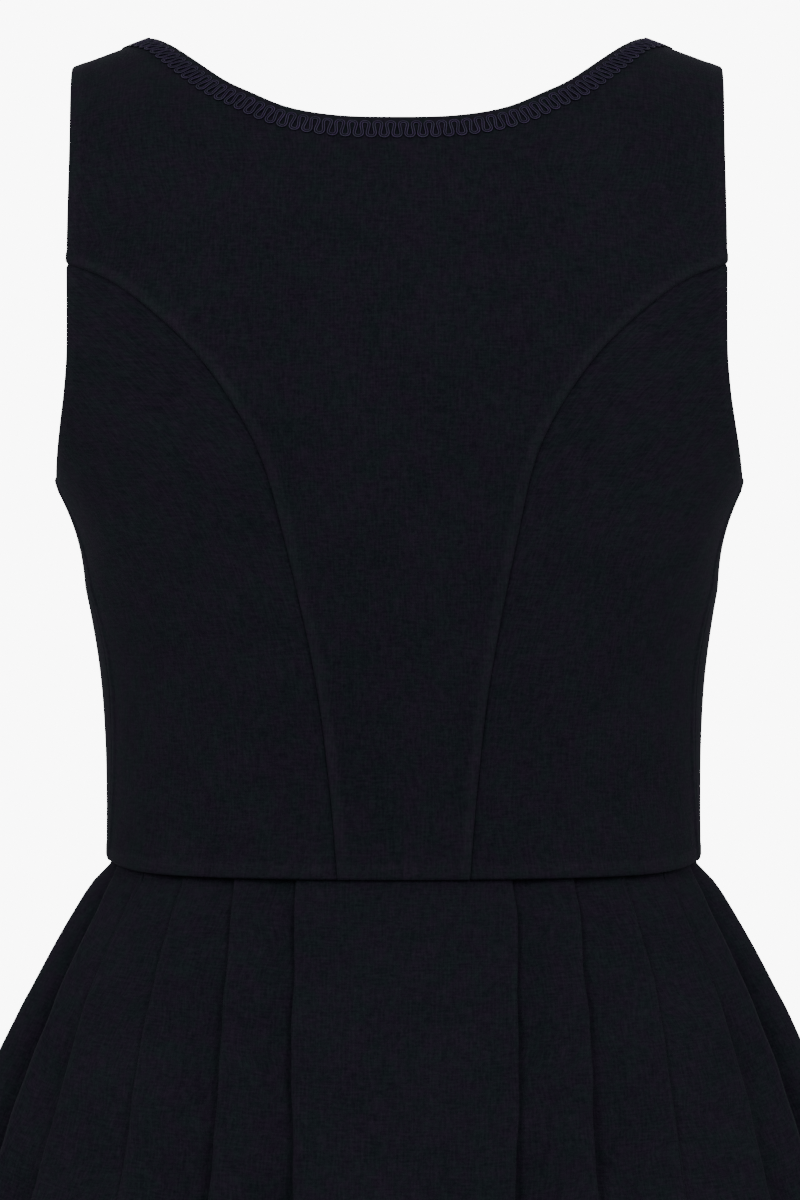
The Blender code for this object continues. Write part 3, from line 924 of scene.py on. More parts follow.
@dataclass
class ClothLayer:
    """One layer of cloth, before it is given its thickness."""

    points: Array
    place: Array  # on the flat cloth
    press: Array
    faces: Array

    @classmethod
    def from_grid(cls, points: Array, place: Array, press: Array) -> "ClothLayer":
        """Lays faces on rows of points, facing away from the garment's middle.

        Args:
            points: Rows and columns of positions.
            place: Their places on the flat cloth.
            press: How hard each is pressed.

        Returns:
            The layer.
        """
        ids = np.arange(points.shape[0] * points.shape[1]).reshape(points.shape[:2])
        faces = quads(ids)
        flat = points.reshape(-1, 3)
        sides = flat[faces[:, 2]] - flat[faces[:, 0]], flat[faces[:, 3]] - flat[faces[:, 1]]
        facing = np.sum(np.cross(*sides)[:, :2] * flat[faces[:, 0], :2])
        if facing < 0:
            faces = faces[:, ::-1]
        return cls(flat, place.reshape(-1, 2), press.reshape(-1), faces)

    def joined_along(self, other: "ClothLayer", own: Array, others: Array) -> "ClothLayer":
        """This layer and another as one cloth, sharing some of their points.

        Args:
            other: The other layer.
            own: Indices of this layer's shared points.
            others: Indices of the other's, in the same order.

        Returns:
            The whole cloth.
        """
        ids = np.arange(len(other.points)) + len(self.points)
        ids[others] = own
        faces = np.vstack((self.faces, ids[other.faces]))
        used, faces = np.unique(faces, return_inverse=True)
        points, place, press = (
            np.concatenate(pair)[used]
            for pair in zip((self.points, self.place, self.press), (other.points, other.place, other.press))
        )
        return ClothLayer(points, place, press, faces.reshape(-1, 4))

    def made(self, name: str, thickness: float, material: bpy.types.Material) -> bpy.types.Object:
        """The cloth as an object of the scene.

        Args:
            name: Its name.
            thickness: Thickness, inward from the layer.
            material: Its finish.

        Returns:
            The object.
        """
        piece = surfaced(name, self.points, self.faces.tolist(), material)
        flat = self.place[self.faces.ravel()].ravel().astype(np.float32)
        piece.data.uv_layers.new(name=CLOTH_MAP).data.foreach_set("uv", flat)
        pressed = piece.data.attributes.new(PRESS_AND_HIGHLIGHT, "FLOAT", "POINT")
        pressed.data.foreach_set("value", self.press.astype(np.float32))
        wall = piece.modifiers.new("wall", "SOLIDIFY")
        wall.thickness = thickness
        wall.offset = -1
        return piece


def dressed(piece: bpy.types.Object, node: str) -> bpy.types.Object:
    """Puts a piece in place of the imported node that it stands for.

    Args:
        piece: The piece.
        node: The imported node.

    Returns:
        The piece.
    """
    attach(piece, BODY)
    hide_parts(node)
    return piece


@dataclass
class Bodice:
    """Seven panels with curved princess seams, hollow and open at the neck, the armholes and the waist."""

    curves: PatternCurves
    stance: Stance
    finish: bpy.types.Material
    tailoring: Tailoring = Tailoring()
    thickness: float = 1.6 * MM
    seam_lap: float = 1.3 * MM  # how far the lower panel goes on beneath the upper one
    ridge_lap: float = 0.4 * MM  # how far each side goes on at the shoulder seam
    rows: int = 84
    centre_columns: int = 34
    side_columns: int = 30
    edge_samples: int = 140
    midway: float = 0.01 * MM  # how near the middle a point counts as on it

    def edge(self, leg: Leg) -> Array:
        """Positions along an edge of the form."""
        return self.curves.form.point(leg(np.linspace(0.0, 1.0, self.edge_samples)))

    def centre_legs(self, side: Side) -> tuple[Leg, Leg, Leg, float]:
        """Edges of half the back, or of one front.

        Args:
            side: Back or front.

        Returns:
            The shoulder edge, the inner and outer edges, and the share of the inner one below the neckline.
        """
        curves, form = self.curves, self.curves.form
        neck = curves.neck_leg(side)
        neck_starts = curves.seam_share if side is Side.BACK else curves.front_neck_share
        foot = np.array([side.value * math.pi / 2, 0.0])
        inner = joined(straight(foot, neck(np.array(0.0))), neck, neck_starts)
        ridge = float(form.height_of(np.array(form.ridge_travel - curves.ridge_edge)))
        armhole = curves.armhole_leg(curves.princess_top, ridge, side)
        outer = joined(curves.seam_leg(side), armhole, curves.seam_share)
        ends = np.array([0.0, 1.0])
        return straight(inner(ends)[1], outer(ends)[1]), inner, outer, neck_starts

    def centre_grid(self, side: Side) -> PanelGrid:
        """Half of the back, or one front."""
        top, inner, outer, knot = self.centre_legs(side)
        return PanelGrid.between(self.curves.form, top, inner, outer, self.rows, self.centre_columns, knot)

    def side_grid(self, side: Side) -> PanelGrid:
        """The panel between the side seam and a princess seam.

        Args:
            side: Back or front.

        Returns:
            The panel.
        """
        curves = self.curves
        low = curves.form.underarm_height
        top = curves.underarm_leg
        if side is Side.BACK:
            top = curves.armhole_leg(low, curves.princess_top, side)
        return PanelGrid.between(
            curves.form, top, curves.side_leg, curves.seam_leg(side), self.rows * 2 // 3, self.side_columns
        )

    def creased(self, grid: PanelGrid, side: Side, hand: Hand) -> Array:
        """Lift of the soft creases on one side of the garment.

        Args:
            grid: The panel.
            side: Back or front.
            hand: Left or right.

        Returns:
            The lift of each point.
        """
        across = grid.points[..., 0] * hand.value
        height = self.curves.form.height_of(grid.spots[..., 1])
        creases = BACK_CREASES if side is Side.BACK else FRONT_CREASES
        return sum(crease.lift(across, height) for crease in creases)

    def centre_relief(self, grid: PanelGrid, side: Side) -> tuple[Array, Array]:
        """Lift and press of a centre panel along its seams and edges.

        Args:
            grid: The panel's grid.
            side: Back or front.

        Returns:
            The lift, and how hard each point is pressed.
        """
        curves, sewn = self.curves, self.tailoring
        neck = way_from(grid.points, self.edge(curves.neck_leg(side)))
        seam = way_from(grid.points, self.edge(curves.seam_leg(side)))
        top = curves.form.ridge_height
        armhole = way_from(grid.points, self.edge(curves.armhole_leg(curves.princess_top, top, side)))
        shoulder = curves.form.ridge_travel - grid.spots[..., 1]
        lift = sewn.over_seam(seam) + sewn.turned(armhole) + sewn.turned(neck)
        lift += sewn.turned(grid.spots[..., 1]) + sewn.under_seam(shoulder)
        if side is Side.FRONT:
            lift += sewn.turned(grid.points[..., 0])
        press = sewn.pressed(seam, sewn.allowance)
        for way in (neck, armhole, grid.spots[..., 1]):
            press = np.maximum(press, sewn.turning_pressed(way))
        return lift, press

    def side_relief(self, grid: PanelGrid, side: Side) -> tuple[Array, Array]:
        """Lift and press of a side panel along its seams and edges.

        Args:
            grid: The panel's grid.
            side: Back or front.

        Returns:
            The lift, and how hard each point is pressed.
        """
        curves, sewn = self.curves, self.tailoring
        seam = way_from(grid.points, self.edge(curves.seam_leg(side)))
        side_seam = way_from(grid.points, self.edge(curves.side_leg))
        if side is Side.BACK:
            top = curves.armhole_leg(curves.form.underarm_height, curves.princess_top, side)
            lift = sewn.over_seam(side_seam)
        else:
            top = curves.underarm_leg
            lift = sewn.under_seam(side_seam)
        armhole = way_from(grid.points, self.edge(top))
        lift += sewn.under_seam(seam) + sewn.turned(armhole) + sewn.turned(grid.spots[..., 1])
        return lift, np.maximum(sewn.turning_pressed(armhole), sewn.turning_pressed(grid.spots[..., 1]))

    def lapped(self, grid: PanelGrid, side: Side, part: Part) -> Array:
        """How far the points of a panel's edges are carried on beneath its neighbours.

        Args:
            grid: Its grid, as for the left.
            side: Back or front.
            part: Centre or side.

        Returns:
            The way that each point is moved.
        """
        way = np.zeros_like(grid.points)
        if part is Part.CENTER:
            way[-1] = self.ridge_lap * unit(grid.points[-1] - grid.points[-2])
        else:
            way[:, -1] = self.seam_lap * unit(grid.points[:, -1] - grid.points[:, -2])
            if side is Side.FRONT:
                way[:, 0] = self.seam_lap * unit(grid.points[:, 0] - grid.points[:, 1])
        return way

    def layer(
        self, grid: PanelGrid, relief: tuple[Array, Array], side: Side, hand: Hand, part: Part
    ) -> ClothLayer:
        """One panel as cloth.

        Args:
            grid: Its grid, as for the left.
            relief: Its lift and press along seams and edges.
            side: Back or front.
            hand: Left or right.
            part: Centre or side.

        Returns:
            The cloth.
        """
        lift = relief[0] + self.creased(grid, side, hand)
        points = grid.points + outward_normals(grid.points) * lift[..., None]
        points = points + self.lapped(grid, side, part)
        points = points * (hand.value, 1.0, 1.0)
        place = grid.place * (hand.value, 1.0)
        return ClothLayer.from_grid(self.stance.leaned(points), place, relief[1])

    def sewn_in(self, name: str, layer: ClothLayer, place: Array) -> bpy.types.Object:
        """Makes a panel and dresses it on its node.

        Args:
            name: The node's name.
            layer: The cloth.
            place: Where its points lie on the flat cloth; not used.

        Returns:
            The piece.
        """
        piece = dressed(layer.made(f"{name}.cloth", self.thickness, self.finish), name)
        return piece

    def build(self) -> list[bpy.types.Object]:
        """Makes the seven panels.

        Returns:
            The pieces.
        """
        grid = self.centre_grid(Side.BACK)
        relief = self.centre_relief(grid, Side.BACK)
        left, right = (self.layer(grid, relief, Side.BACK, hand, Part.CENTER) for hand in Hand)
        middle = np.flatnonzero(grid.points[:, 0, 0] < self.midway) * grid.points.shape[1]
        for half in (left, right):
            half.points[middle] = (left.points[middle] + right.points[middle]) / 2
        whole = left.joined_along(right, middle, middle)
        pieces = [self.sewn_in("back_center", whole, whole.place)]
        for side in Side:
            grids = {Part.SIDE: self.side_grid(side)}
            if side is Side.FRONT:
                grids[Part.CENTER] = self.centre_grid(side)
            for part, grid in grids.items():
                relief = (self.side_relief if part is Part.SIDE else self.centre_relief)(grid, side)
                for hand in Hand:
                    name = f"{side.name.lower()}_{part.value}_{hand.name.lower()}"
                    layer = self.layer(grid, relief, side, hand, part)
                    pieces.append(self.sewn_in(name, layer, grid.place))
        return pieces


@dataclass
class NeckBraid:
    """A looped braid round the neckline: one cord of two plies that winds in tall loops."""

    curves: PatternCurves
    stance: Stance
    finish: bpy.types.Material
    width: float = 10.4 * MM
    margin: float = 3.5 * MM  # cloth that shows above it
    cord: float = 1.7 * MM
    thick: float = 0.9 * MM
    groove: float = 0.75  # how deep the groove between the plies is, beside the cord's thickness
    groove_width: float = 0.32  # beside half the cord's width
    period: float = 5.8 * MM
    swing: float = 0.165  # how far the loops' sides swing, as a share of the period
    blunt: float = 0.85  # less than 1 flattens the loops' heads
    lift: float = 0.52 * MM  # the cord's middle above the cloth
    ridge_round: float = 0.012  # how near the ridge the braid turns over it
    reach: float = 3.0 * MM  # to each side, where the cloth's slope is measured
    frames: int = 300  # places along the band
    places: int = 5  # places across it
    passes: int = 5  # that find a place's way across the cloth
    steps: int = 32  # steps in one loop
    sides: int = 14  # sides of the cord's section

    def strip(self) -> tuple[Array, Array, Array]:
        """The band that the cord winds over, from the middle of the back to the middle of the front.

        Returns:
            The way along its middle, its points at each place across, and their normals.
        """
        curves = self.curves
        place = np.linspace(0.0, len(NECKLINE) - 1.0, self.frames)
        across, run = curves.neck_point(place)
        over, down = np.gradient(across), np.gradient(run)
        size = np.hypot(over, down)
        into = -down / size, over / size
        margin = self.margin * np.minimum(np.abs(run) / self.ridge_round, 1.0)
        start = curves.flat_point(across, run)
        points, normals = [], []
        for share in np.linspace(0.0, 1.0, self.places):
            wanted = margin + share * self.width
            way = wanted.copy()
            for _ in range(self.passes):
                spot = across + into[0] * way, run + into[1] * way
                found = np.linalg.norm(curves.flat_point(*spot) - start, axis=-1)
                way = way * wanted / np.maximum(found, 1e-6)
            spot = across + into[0] * way, run + into[1] * way
            points.append(curves.flat_point(*spot))
            normals.append(self.normal(*spot))
        points, normals = np.stack(points, axis=1), np.stack(normals, axis=1)
        points[0, :, 0] = 0.0
        middle = self.places // 2
        return walked(points[:, middle : middle + 1], 0)[:, 0], points, normals

    def normal(self, across: Array, run: Array) -> Array:
        """Outward normals of the form at places given as on the flat.

        Args:
            across: Each place from the middle.
            run: Each place down from the ridge.

        Returns:
            The normals.
        """
        flat, reach = self.curves.flat_point, self.reach
        over = flat(across + reach, run) - flat(across - reach, run)
        normal = np.cross(over, flat(across, run + reach) - flat(across, run - reach))
        return normal / np.linalg.norm(normal, axis=-1, keepdims=True)

    def loops(self) -> tuple[Array, Array]:
        """One period of loops that are narrower at their necks than at their heads.

        Returns:
            The way along as a share of the period, and the way across from the middle, in metres.
        """
        turn = np.linspace(0.0, 2 * math.pi, self.steps + 1)
        along = turn / (2 * math.pi) + self.swing * np.sin(2 * turn)
        head = np.cos(turn)
        return along, (self.width - self.cord) / 2 * np.sign(head) * np.abs(head) ** self.blunt

    def centre_line(self) -> tuple[Array, Array, Array]:
        """The cord's middle, from the right front round the back to the left front.

        Returns:
            Its points, the cloth's normals under them, and the way along the cord.
        """
        way, points, normals = self.strip()
        flip = np.array((-1.0, 1.0, 1.0))
        way = np.concatenate((-way[:0:-1], way))
        points = np.concatenate((points[:0:-1] * flip, points))
        normals = np.concatenate((normals[:0:-1] * flip, normals))
        margin = self.cord / 2
        span = way[-1] - way[0] - 2 * margin
        count = round(span / self.period)
        along, across = self.loops()
        turns = np.arange(count)[:, None]
        place = way[0] + margin + span / count * (turns + along[:-1]).ravel()
        share = 0.5 + np.tile(across[:-1] / self.width, count)
        slot = np.clip(share * (self.places - 1), 0, self.places - 1.001)
        low = slot.astype(int)
        part, picked = slot - low, np.arange(len(place))
        spots = []
        for values in (points, normals):
            lines = [[np.interp(place, way, values[:, j, k]) for k in range(3)] for j in range(self.places)]
            lines = np.array(lines)  # across the band, axis, point
            spots.append(((1 - part) * lines[low, :, picked].T + part * lines[low + 1, :, picked].T).T)
        centre, up = spots
        up /= np.linalg.norm(up, axis=-1, keepdims=True)
        centre = centre + up * self.lift
        return centre, up, walked(centre[:, None], 0)[:, 0]

    def build(self) -> bpy.types.Object:
        """Sweeps the cord's section along its line.

        Returns:
            The piece.
        """
        centre, up, way = self.centre_line()
        tangent = np.gradient(centre, axis=0)
        tangent /= np.linalg.norm(tangent, axis=-1, keepdims=True)
        side = np.cross(tangent, up)
        side /= np.linalg.norm(side, axis=-1, keepdims=True)
        up = np.cross(side, tangent)
        turn = np.arange(self.sides + 1) * 2 * math.pi / self.sides
        out = self.cord / 2 * np.cos(turn)
        groove = self.groove * np.exp(-((np.cos(turn) / self.groove_width) ** 2))
        rise = self.thick / 2 * np.sin(turn) * (1 - groove)
        rings = centre[:, None] + out[None, :, None] * side[:, None] + rise[None, :, None] * up[:, None]
        rings = self.stance.leaned(rings)
        ids = np.arange(len(centre) * self.sides).reshape(-1, self.sides)
        faces = quads(np.hstack((ids, ids[:, :1])))
        ends = [ids[0][::-1].tolist(), ids[-1].tolist()]
        faces = faces[:, ::-1].tolist() + ends
        piece = surfaced("neck_braid.cord", rings[:, :-1].reshape(-1, 3), faces, self.finish)
        around = np.broadcast_to(turn / (2 * math.pi), (len(centre), self.sides + 1))
        place = np.stack((np.broadcast_to(way[:, None], around.shape), around), axis=-1)
        corners = quads(np.arange(place.shape[0] * place.shape[1]).reshape(place.shape[:2]))[:, ::-1]
        flat = np.zeros((len(piece.data.loops), 2), np.float32)
        flat[: corners.size] = place.reshape(-1, 2)[corners.ravel()]
        piece.data.uv_layers.new(name=CLOTH_MAP).data.foreach_set("uv", flat.ravel())
        LOG.info("neck_braid: %.2f m of cord in %d faces", way[-1], len(faces))
        return dressed(piece, "neck_braid")


@dataclass(frozen=True)
class SkirtRing:
    """A level section of the skirt.

    depth is how deep its pleats go, tuck how far each fold lies over the next panel, nose the roundness
    of a fold's edge, and opening how far the pleats have opened into flutes.
    """

    drop: float
    half_width: float
    back: float
    front: float
    depth: float
    tuck: float
    nose: float
    opening: float


SKIRT_RINGS = (
    SkirtRing(-0.006, 0.1368, 0.0957, 0.1017, 0.0044, 0.0085, 0.0014, 0.00),
    SkirtRing(0.0008, 0.1369, 0.0958, 0.1018, 0.0048, 0.0085, 0.0015, 0.00),
    SkirtRing(0.012, 0.1490, 0.1050, 0.1110, 0.0075, 0.0090, 0.0018, 0.00),
    SkirtRing(0.046, 0.1712, 0.1250, 0.1310, 0.0105, 0.0090, 0.0024, 0.05),
    SkirtRing(0.090, 0.1940, 0.1450, 0.1510, 0.0130, 0.0080, 0.0030, 0.12),
    SkirtRing(0.135, 0.2138, 0.1625, 0.1685, 0.0155, 0.0065, 0.0036, 0.21),
    SkirtRing(0.190, 0.2345, 0.1825, 0.1882, 0.0190, 0.0030, 0.0044, 0.34),
    SkirtRing(0.300, 0.2690, 0.2180, 0.2230, 0.0255, -0.0070, 0.0060, 0.60),
    SkirtRing(0.650, 0.3600, 0.3180, 0.3210, 0.0370, -0.0300, 0.0120, 1.00),
)
FOLD_DROPS = (0.0, 0.012, 0.046, 0.150, 0.650)


@dataclass(frozen=True)
class Fold:
    """Where a fold lies round a quarter of the skirt: its share from the middle at each of FOLD_DROPS.

    full is how deep it stands under the waist beside the rings' depth: nothing where it is pressed shut.
    hollow is how far its valley runs to the next fold there, and round how much rounder its edge is.
    Down to faint_to it is pressed nearly flat, with the faint share of its depth. slack is how unevenly
    its edge is pressed further down.
    """

    waist: float
    gather: float
    hip: float
    thigh: float
    hem: float
    full: float
    hollow: float
    round: float
    faint: float
    faint_to: float
    slack: float


FOLDS = (
    Fold(0.268, 0.246, 0.211, 0.160, 0.115, 0.10, 0.16, 1.0, 1.00, 0.000, 0.30),
    Fold(0.429, 0.394, 0.345, 0.285, 0.250, 0.15, 0.16, 1.0, 1.00, 0.000, 0.35),
    Fold(0.575, 0.538, 0.500, 0.428, 0.430, 0.00, 0.16, 1.0, 0.50, 0.150, 0.40),
    Fold(0.720, 0.678, 0.648, 0.592, 0.625, 0.10, 0.16, 1.0, 0.30, 0.046, 0.30),
    Fold(0.875, 0.803, 0.770, 0.728, 0.795, 1.80, 0.16, 1.7, 1.00, 0.000, 0.10),
    Fold(0.955, 0.920, 0.893, 0.865, 0.905, 0.60, 0.16, 1.0, 1.00, 0.000, 0.10),
)


@dataclass(frozen=True)
class FoldCorner:
    """A corner of a fold's section between its edge and the next fold.

    The way round is counted from the fold's place: in noses, in tucks, in hollows, and in shares of the
    way to the next fold where the folds are shut or open. The depth is counted in noses and in shares of
    the fold's depth. parts is how many steps lead to the next corner, and pleat is 1 once the cloth has
    turned.
    """

    noses: float
    tucks: int
    hollows: float
    shut: float
    open: float
    noses_deep: int
    deep: float
    parts: int
    pleat: int


FOLD_CORNERS = (
    FoldCorner(-1.4, 0, 0.0, 0.00, 0.00, 0, 0.00, 5, 0),
    FoldCorner(0.0, 0, 0.0, 0.00, 0.00, 1, 0.00, 5, 0),
    FoldCorner(-0.9, 0, 0.0, 0.00, 0.22, 2, 0.00, 4, 0),
    FoldCorner(0.0, -1, 0.0, 0.00, 0.27, 0, 0.90, 3, 1),
    FoldCorner(0.0, -1, 0.0, 0.00, 0.42, 0, 1.00, 4, 1),
    FoldCorner(0.0, 0, 1.0, 0.00, 0.55, 0, 0.85, 6, 1),
    FoldCorner(0.0, 0, 0.5, 0.52, 0.77, 0, 0.26, 8, 1),
)


def rounded_line(corners: Array, parts: Sequence[int]) -> Array:
    """A smooth line through corners that never loops back between two of them.

    Args:
        corners: The points that it passes through.
        parts: How many steps each stretch between two corners takes.

    Returns:
        The points of the smooth line.
    """
    steps = np.diff(corners, axis=0)
    knots = np.concatenate(((0.0,), np.cumsum(np.sqrt(np.linalg.norm(steps, axis=1)))))
    gaps = np.diff(knots)[:, None]
    heads = steps / gaps
    between = (heads[:-1] * gaps[1:] + heads[1:] * gaps[:-1]) / (gaps[:-1] + gaps[1:])
    slopes = np.vstack((heads[:1], between, heads[-1:]))
    line = []
    for i, count in enumerate(parts):
        share = np.arange(count)[:, None] / count
        leave, arrive = slopes[i] * gaps[i], slopes[i + 1] * gaps[i]
        line.append(carried(share, corners[i], leave, corners[i + 1], arrive))
    return np.vstack((*line, corners[-1:]))


Span = tuple[float, float]  # drops between which something begins and is complete
FOLD_EDGE = FOLD_CORNERS[1].parts + FOLD_CORNERS[2].parts - 1  # steps from a pleat's end back to its edge


@dataclass(frozen=True)
class Swell:
    """A slow swell over the skirt: its share of the height, and how fast it turns."""

    share: float
    around: float
    down: float
    start: float
    by_side: float  # how much further on it starts at the back than at the middle


SWELLS = (
    Swell(1.0, 7.3, 5.1, 0.9, 0.0),
    Swell(0.7, 12.7, -9.4, 2.3, 0.0),
    Swell(0.5, 23.0, 14.0, 0.0, 1.0),
)


@dataclass
class Skirt:
    """A full skirt of knife pleats that face away from a flat panel, opening into flutes at the hem."""

    form: TorsoForm
    stance: Stance
    finish: bpy.types.Material
    thickness: float = 1.2 * MM
    power: float = 2.12  # 2 is an ellipse, and more is squarer
    shut_depth: float = 4.4 * MM  # a fold's depth where it is pressed shut
    shut_nose: float = 1.4 * MM
    tuck_share: float = 0.23  # of the way from the last fold, at most
    side_corners: int = 6  # corners of the fold nearest the side seam
    side_flat: float = 0.965  # share of the quarter where the cloth runs flat to the side seam
    side_depth: float = 0.40  # share of the last fold's depth there
    side_parts: int = 3  # steps from there to the side seam
    middle_parts: tuple[int, int] = (5, 6)  # steps over each half of the panel before the first fold
    right_outward: float = 2.0 * MM  # how much further out the right's first folds lie
    right_folds: int = 2  # how many do
    right_grown: Span = (-0.004, 0.020)
    stray: float = 0.45 * MM  # how far the folds' edges wander
    stray_folds: int = 4  # how many wander so far, and the others half as far
    stray_waves: tuple[float, float] = (0.083, 0.031)  # lengths of a slow and a quick wave
    stray_quick: float = 0.4  # the quick one's height beside the slow one's
    stray_grown: Span = (0.004, 0.050)
    slack_waves: tuple[float, float] = (0.064, 0.027)
    slack_grown: Span = (0.0, 0.025)
    slack_fade: Span = (0.12, 0.25)
    slack_eased: float = 0.92  # share of the slack that has gone after that
    seam_share: float = 0.6  # share of their depth that the pleats keep where they are sewn down
    seam_free: Span = (0.0, 0.022)
    faint_end: tuple[float, float] = (1.3, 0.012)  # times faint_to, and more, where a fold is full
    pleat_apart: float = 0.4  # between the pleats on the flat cloth, so that no yarn runs across a fold
    crease_press_and_highlight: float = 0.3
    crease_width: tuple[float, float] = (0.004, 0.0015)  # from an edge, where the press begins and is full
    crease_fade: Span = (0.34, 0.06)
    hem_quarter: float = 0.723  # a quarter of the hem, measured along its folds
    share_of_rise: float = 0.7  # how much of the waist's rise at the sides the skirt follows
    rows: int = 96
    even_rows: float = 0.35  # 1 would space the rows evenly
    quarter_samples: int = 120
    hem_turn: float = 0.045  # height of the cloth turned up at the hem
    hem_fade: float = 2.0 * MM
    hem_rise: float = 0.35 * MM
    hem_roll: float = 0.5 * MM
    hem_roll_width: float = 1.2 * MM
    ripple: float = 2.2 * MM  # height of the swells at the hem
    ripple_start: float = 0.02

    def __post_init__(self) -> None:
        """Prepares the curves through the rings and the folds."""
        drops = [ring.drop for ring in SKIRT_RINGS]
        names = [name for name in SkirtRing.__dataclass_fields__ if name != "drop"]
        self.ring = {}
        for name in names:
            self.ring[name] = SmoothCurve(drops, [getattr(ring, name) for ring in SKIRT_RINGS])
        self.folds = [SmoothCurve(FOLD_DROPS, astuple(fold)[: len(FOLD_DROPS)]) for fold in FOLDS]

    def drops(self) -> Array:
        """The rows' drops, close together under the waist, where the folds are sharpest.

        Returns:
            The drops.
        """
        share = np.linspace(0.0, 1.0, self.rows)
        top = SKIRT_RINGS[0].drop
        return top + (HEM_DROP - top) * (self.even_rows * share + (1 - self.even_rows) * share**2)

    def quarter(self, drop: float, side: Side) -> tuple[Array, Array, Array]:
        """The quarter of a level ring that the pleats are folded from.

        Args:
            drop: How far below the waist seam it lies.
            side: Back or front.

        Returns:
            Its points from the middle to the side, their outward directions, and the way walked.
        """
        depth = self.ring["back" if side is Side.BACK else "front"](drop)
        angle = math.pi / 2 * (1 - np.linspace(0.0, 1.0, self.quarter_samples + 1))
        x = self.ring["half_width"](drop) * np.maximum(np.cos(angle), 0.0) ** (2 / self.power)
        y = side.value * depth * np.sin(angle) ** (2 / self.power)
        points = np.stack((x, y), axis=-1)
        along = np.gradient(points, axis=0)
        along /= np.linalg.norm(along, axis=-1, keepdims=True)
        out = side.value * np.stack((-along[:, 1], along[:, 0]), axis=-1)
        steps = np.linalg.norm(np.diff(points, axis=0), axis=1)
        return points, out, np.concatenate(((0.0,), np.cumsum(steps)))

    def wander(self, number: int, drop: float, corner: Corner) -> float:
        """How far a fold strays from its table, in metres.

        Args:
            number: The fold's place in the table.
            drop: How far below the waist seam.
            corner: The quarter's side and hand.

        Returns:
            The stray, towards the side seam.
        """
        side, hand = corner
        start = 0.37 * number + 0.21 * side.value + 0.11 * hand.value
        slow, quick = (math.sin(2 * math.pi * (drop / wave + start)) for wave in self.stray_waves)
        grown = float(smooth_step(drop, *self.stray_grown))
        outer = self.right_outward if hand is Hand.RIGHT and number < self.right_folds else 0.0
        stray = self.stray if number < self.stray_folds else self.stray / 2
        outer *= float(smooth_step(drop, *self.right_grown))
        return grown * stray * (slow + self.stray_quick * quick) + outer

    def strength(self, number: int, drop: float, corner: Corner) -> float:
        """The share of its depth that a fold has: it is pressed flat in places and stands up in others.

        Args:
            number: The fold's place in the table.
            drop: How far below the waist seam.
            corner: The quarter's side and hand.

        Returns:
            The share.
        """
        fold, (side, hand) = FOLDS[number], corner
        start = 0.85 + 0.31 * number + 0.13 * side.value + 0.07 * (1 - hand.value)
        slow, quick = self.slack_waves
        wave = math.sin(2 * math.pi * (drop / slow + start))
        wave += 0.5 * math.sin(2 * math.pi * (drop / quick - start))
        slack = fold.slack * (1 - self.slack_eased * float(smooth_step(drop, *self.slack_fade)))
        waved = 1 + slack * wave / 1.5 * float(smooth_step(drop, *self.slack_grown))
        waved *= self.seam_share + (1 - self.seam_share) * float(smooth_step(drop, *self.seam_free))
        times, more = self.faint_end
        free = float(smooth_step(drop, fold.faint_to, times * fold.faint_to + more))
        return waved * (fold.faint + (1 - fold.faint) * free)

    def pleated(self, drop: float, whole: float, corner: Corner) -> tuple[Array, list[int], list[int]]:
        """A quarter's section as ways round the ring and depths below it.

        Args:
            drop: How far below the waist seam it lies.
            whole: Length of the quarter.
            corner: The quarter's side and hand.

        Returns:
            The corners, the steps that each stretch takes, and which pleat each stretch belongs to.
        """
        ring_depth, ring_nose, ring_tuck, wide = (
            float(self.ring[name](drop)) for name in ("depth", "nose", "tuck", "opening")
        )
        tight = 1 - wide
        starts = []
        for number, line in enumerate(self.folds):
            starts.append(float(line(drop)) * whole + self.wander(number, drop, corner))
        corners = [(0.0, 0.0), (starts[0] / 2, 0.0)]
        parts, pleat = list(self.middle_parts), [0, 0]
        for number, (fold, start, end) in enumerate(zip(FOLDS, starts, starts[1:] + [whole])):
            full = fold.full * tight + wide
            strong = self.strength(number, drop, corner)
            deep = strong * (self.shut_depth + (ring_depth - self.shut_depth) * full)
            nose = strong * (self.shut_nose + (ring_nose - self.shut_nose) * full)
            nose *= wide + fold.round * tight
            last = starts[number - 1] if number else 0.0
            tuck = min(strong, 1.0) * min(ring_tuck * tight, self.tuck_share * (start - last))
            reach = end + FOLD_CORNERS[0].noses * nose - start
            for bend in FOLD_CORNERS if end < whole else FOLD_CORNERS[: self.side_corners]:
                way = start + bend.noses * nose + bend.tucks * tuck
                way += ((bend.shut + bend.hollows * fold.hollow) * tight + bend.open * wide) * reach
                corners.append((way, bend.noses_deep * nose + bend.deep * deep))
                parts.append(bend.parts)
                pleat.append(number + bend.pleat)
        corners += [(self.side_flat * whole, self.side_depth * deep), (whole, self.side_depth * deep)]
        parts.append(self.side_parts)
        pleat.append(len(starts))
        return np.array(corners), parts, pleat

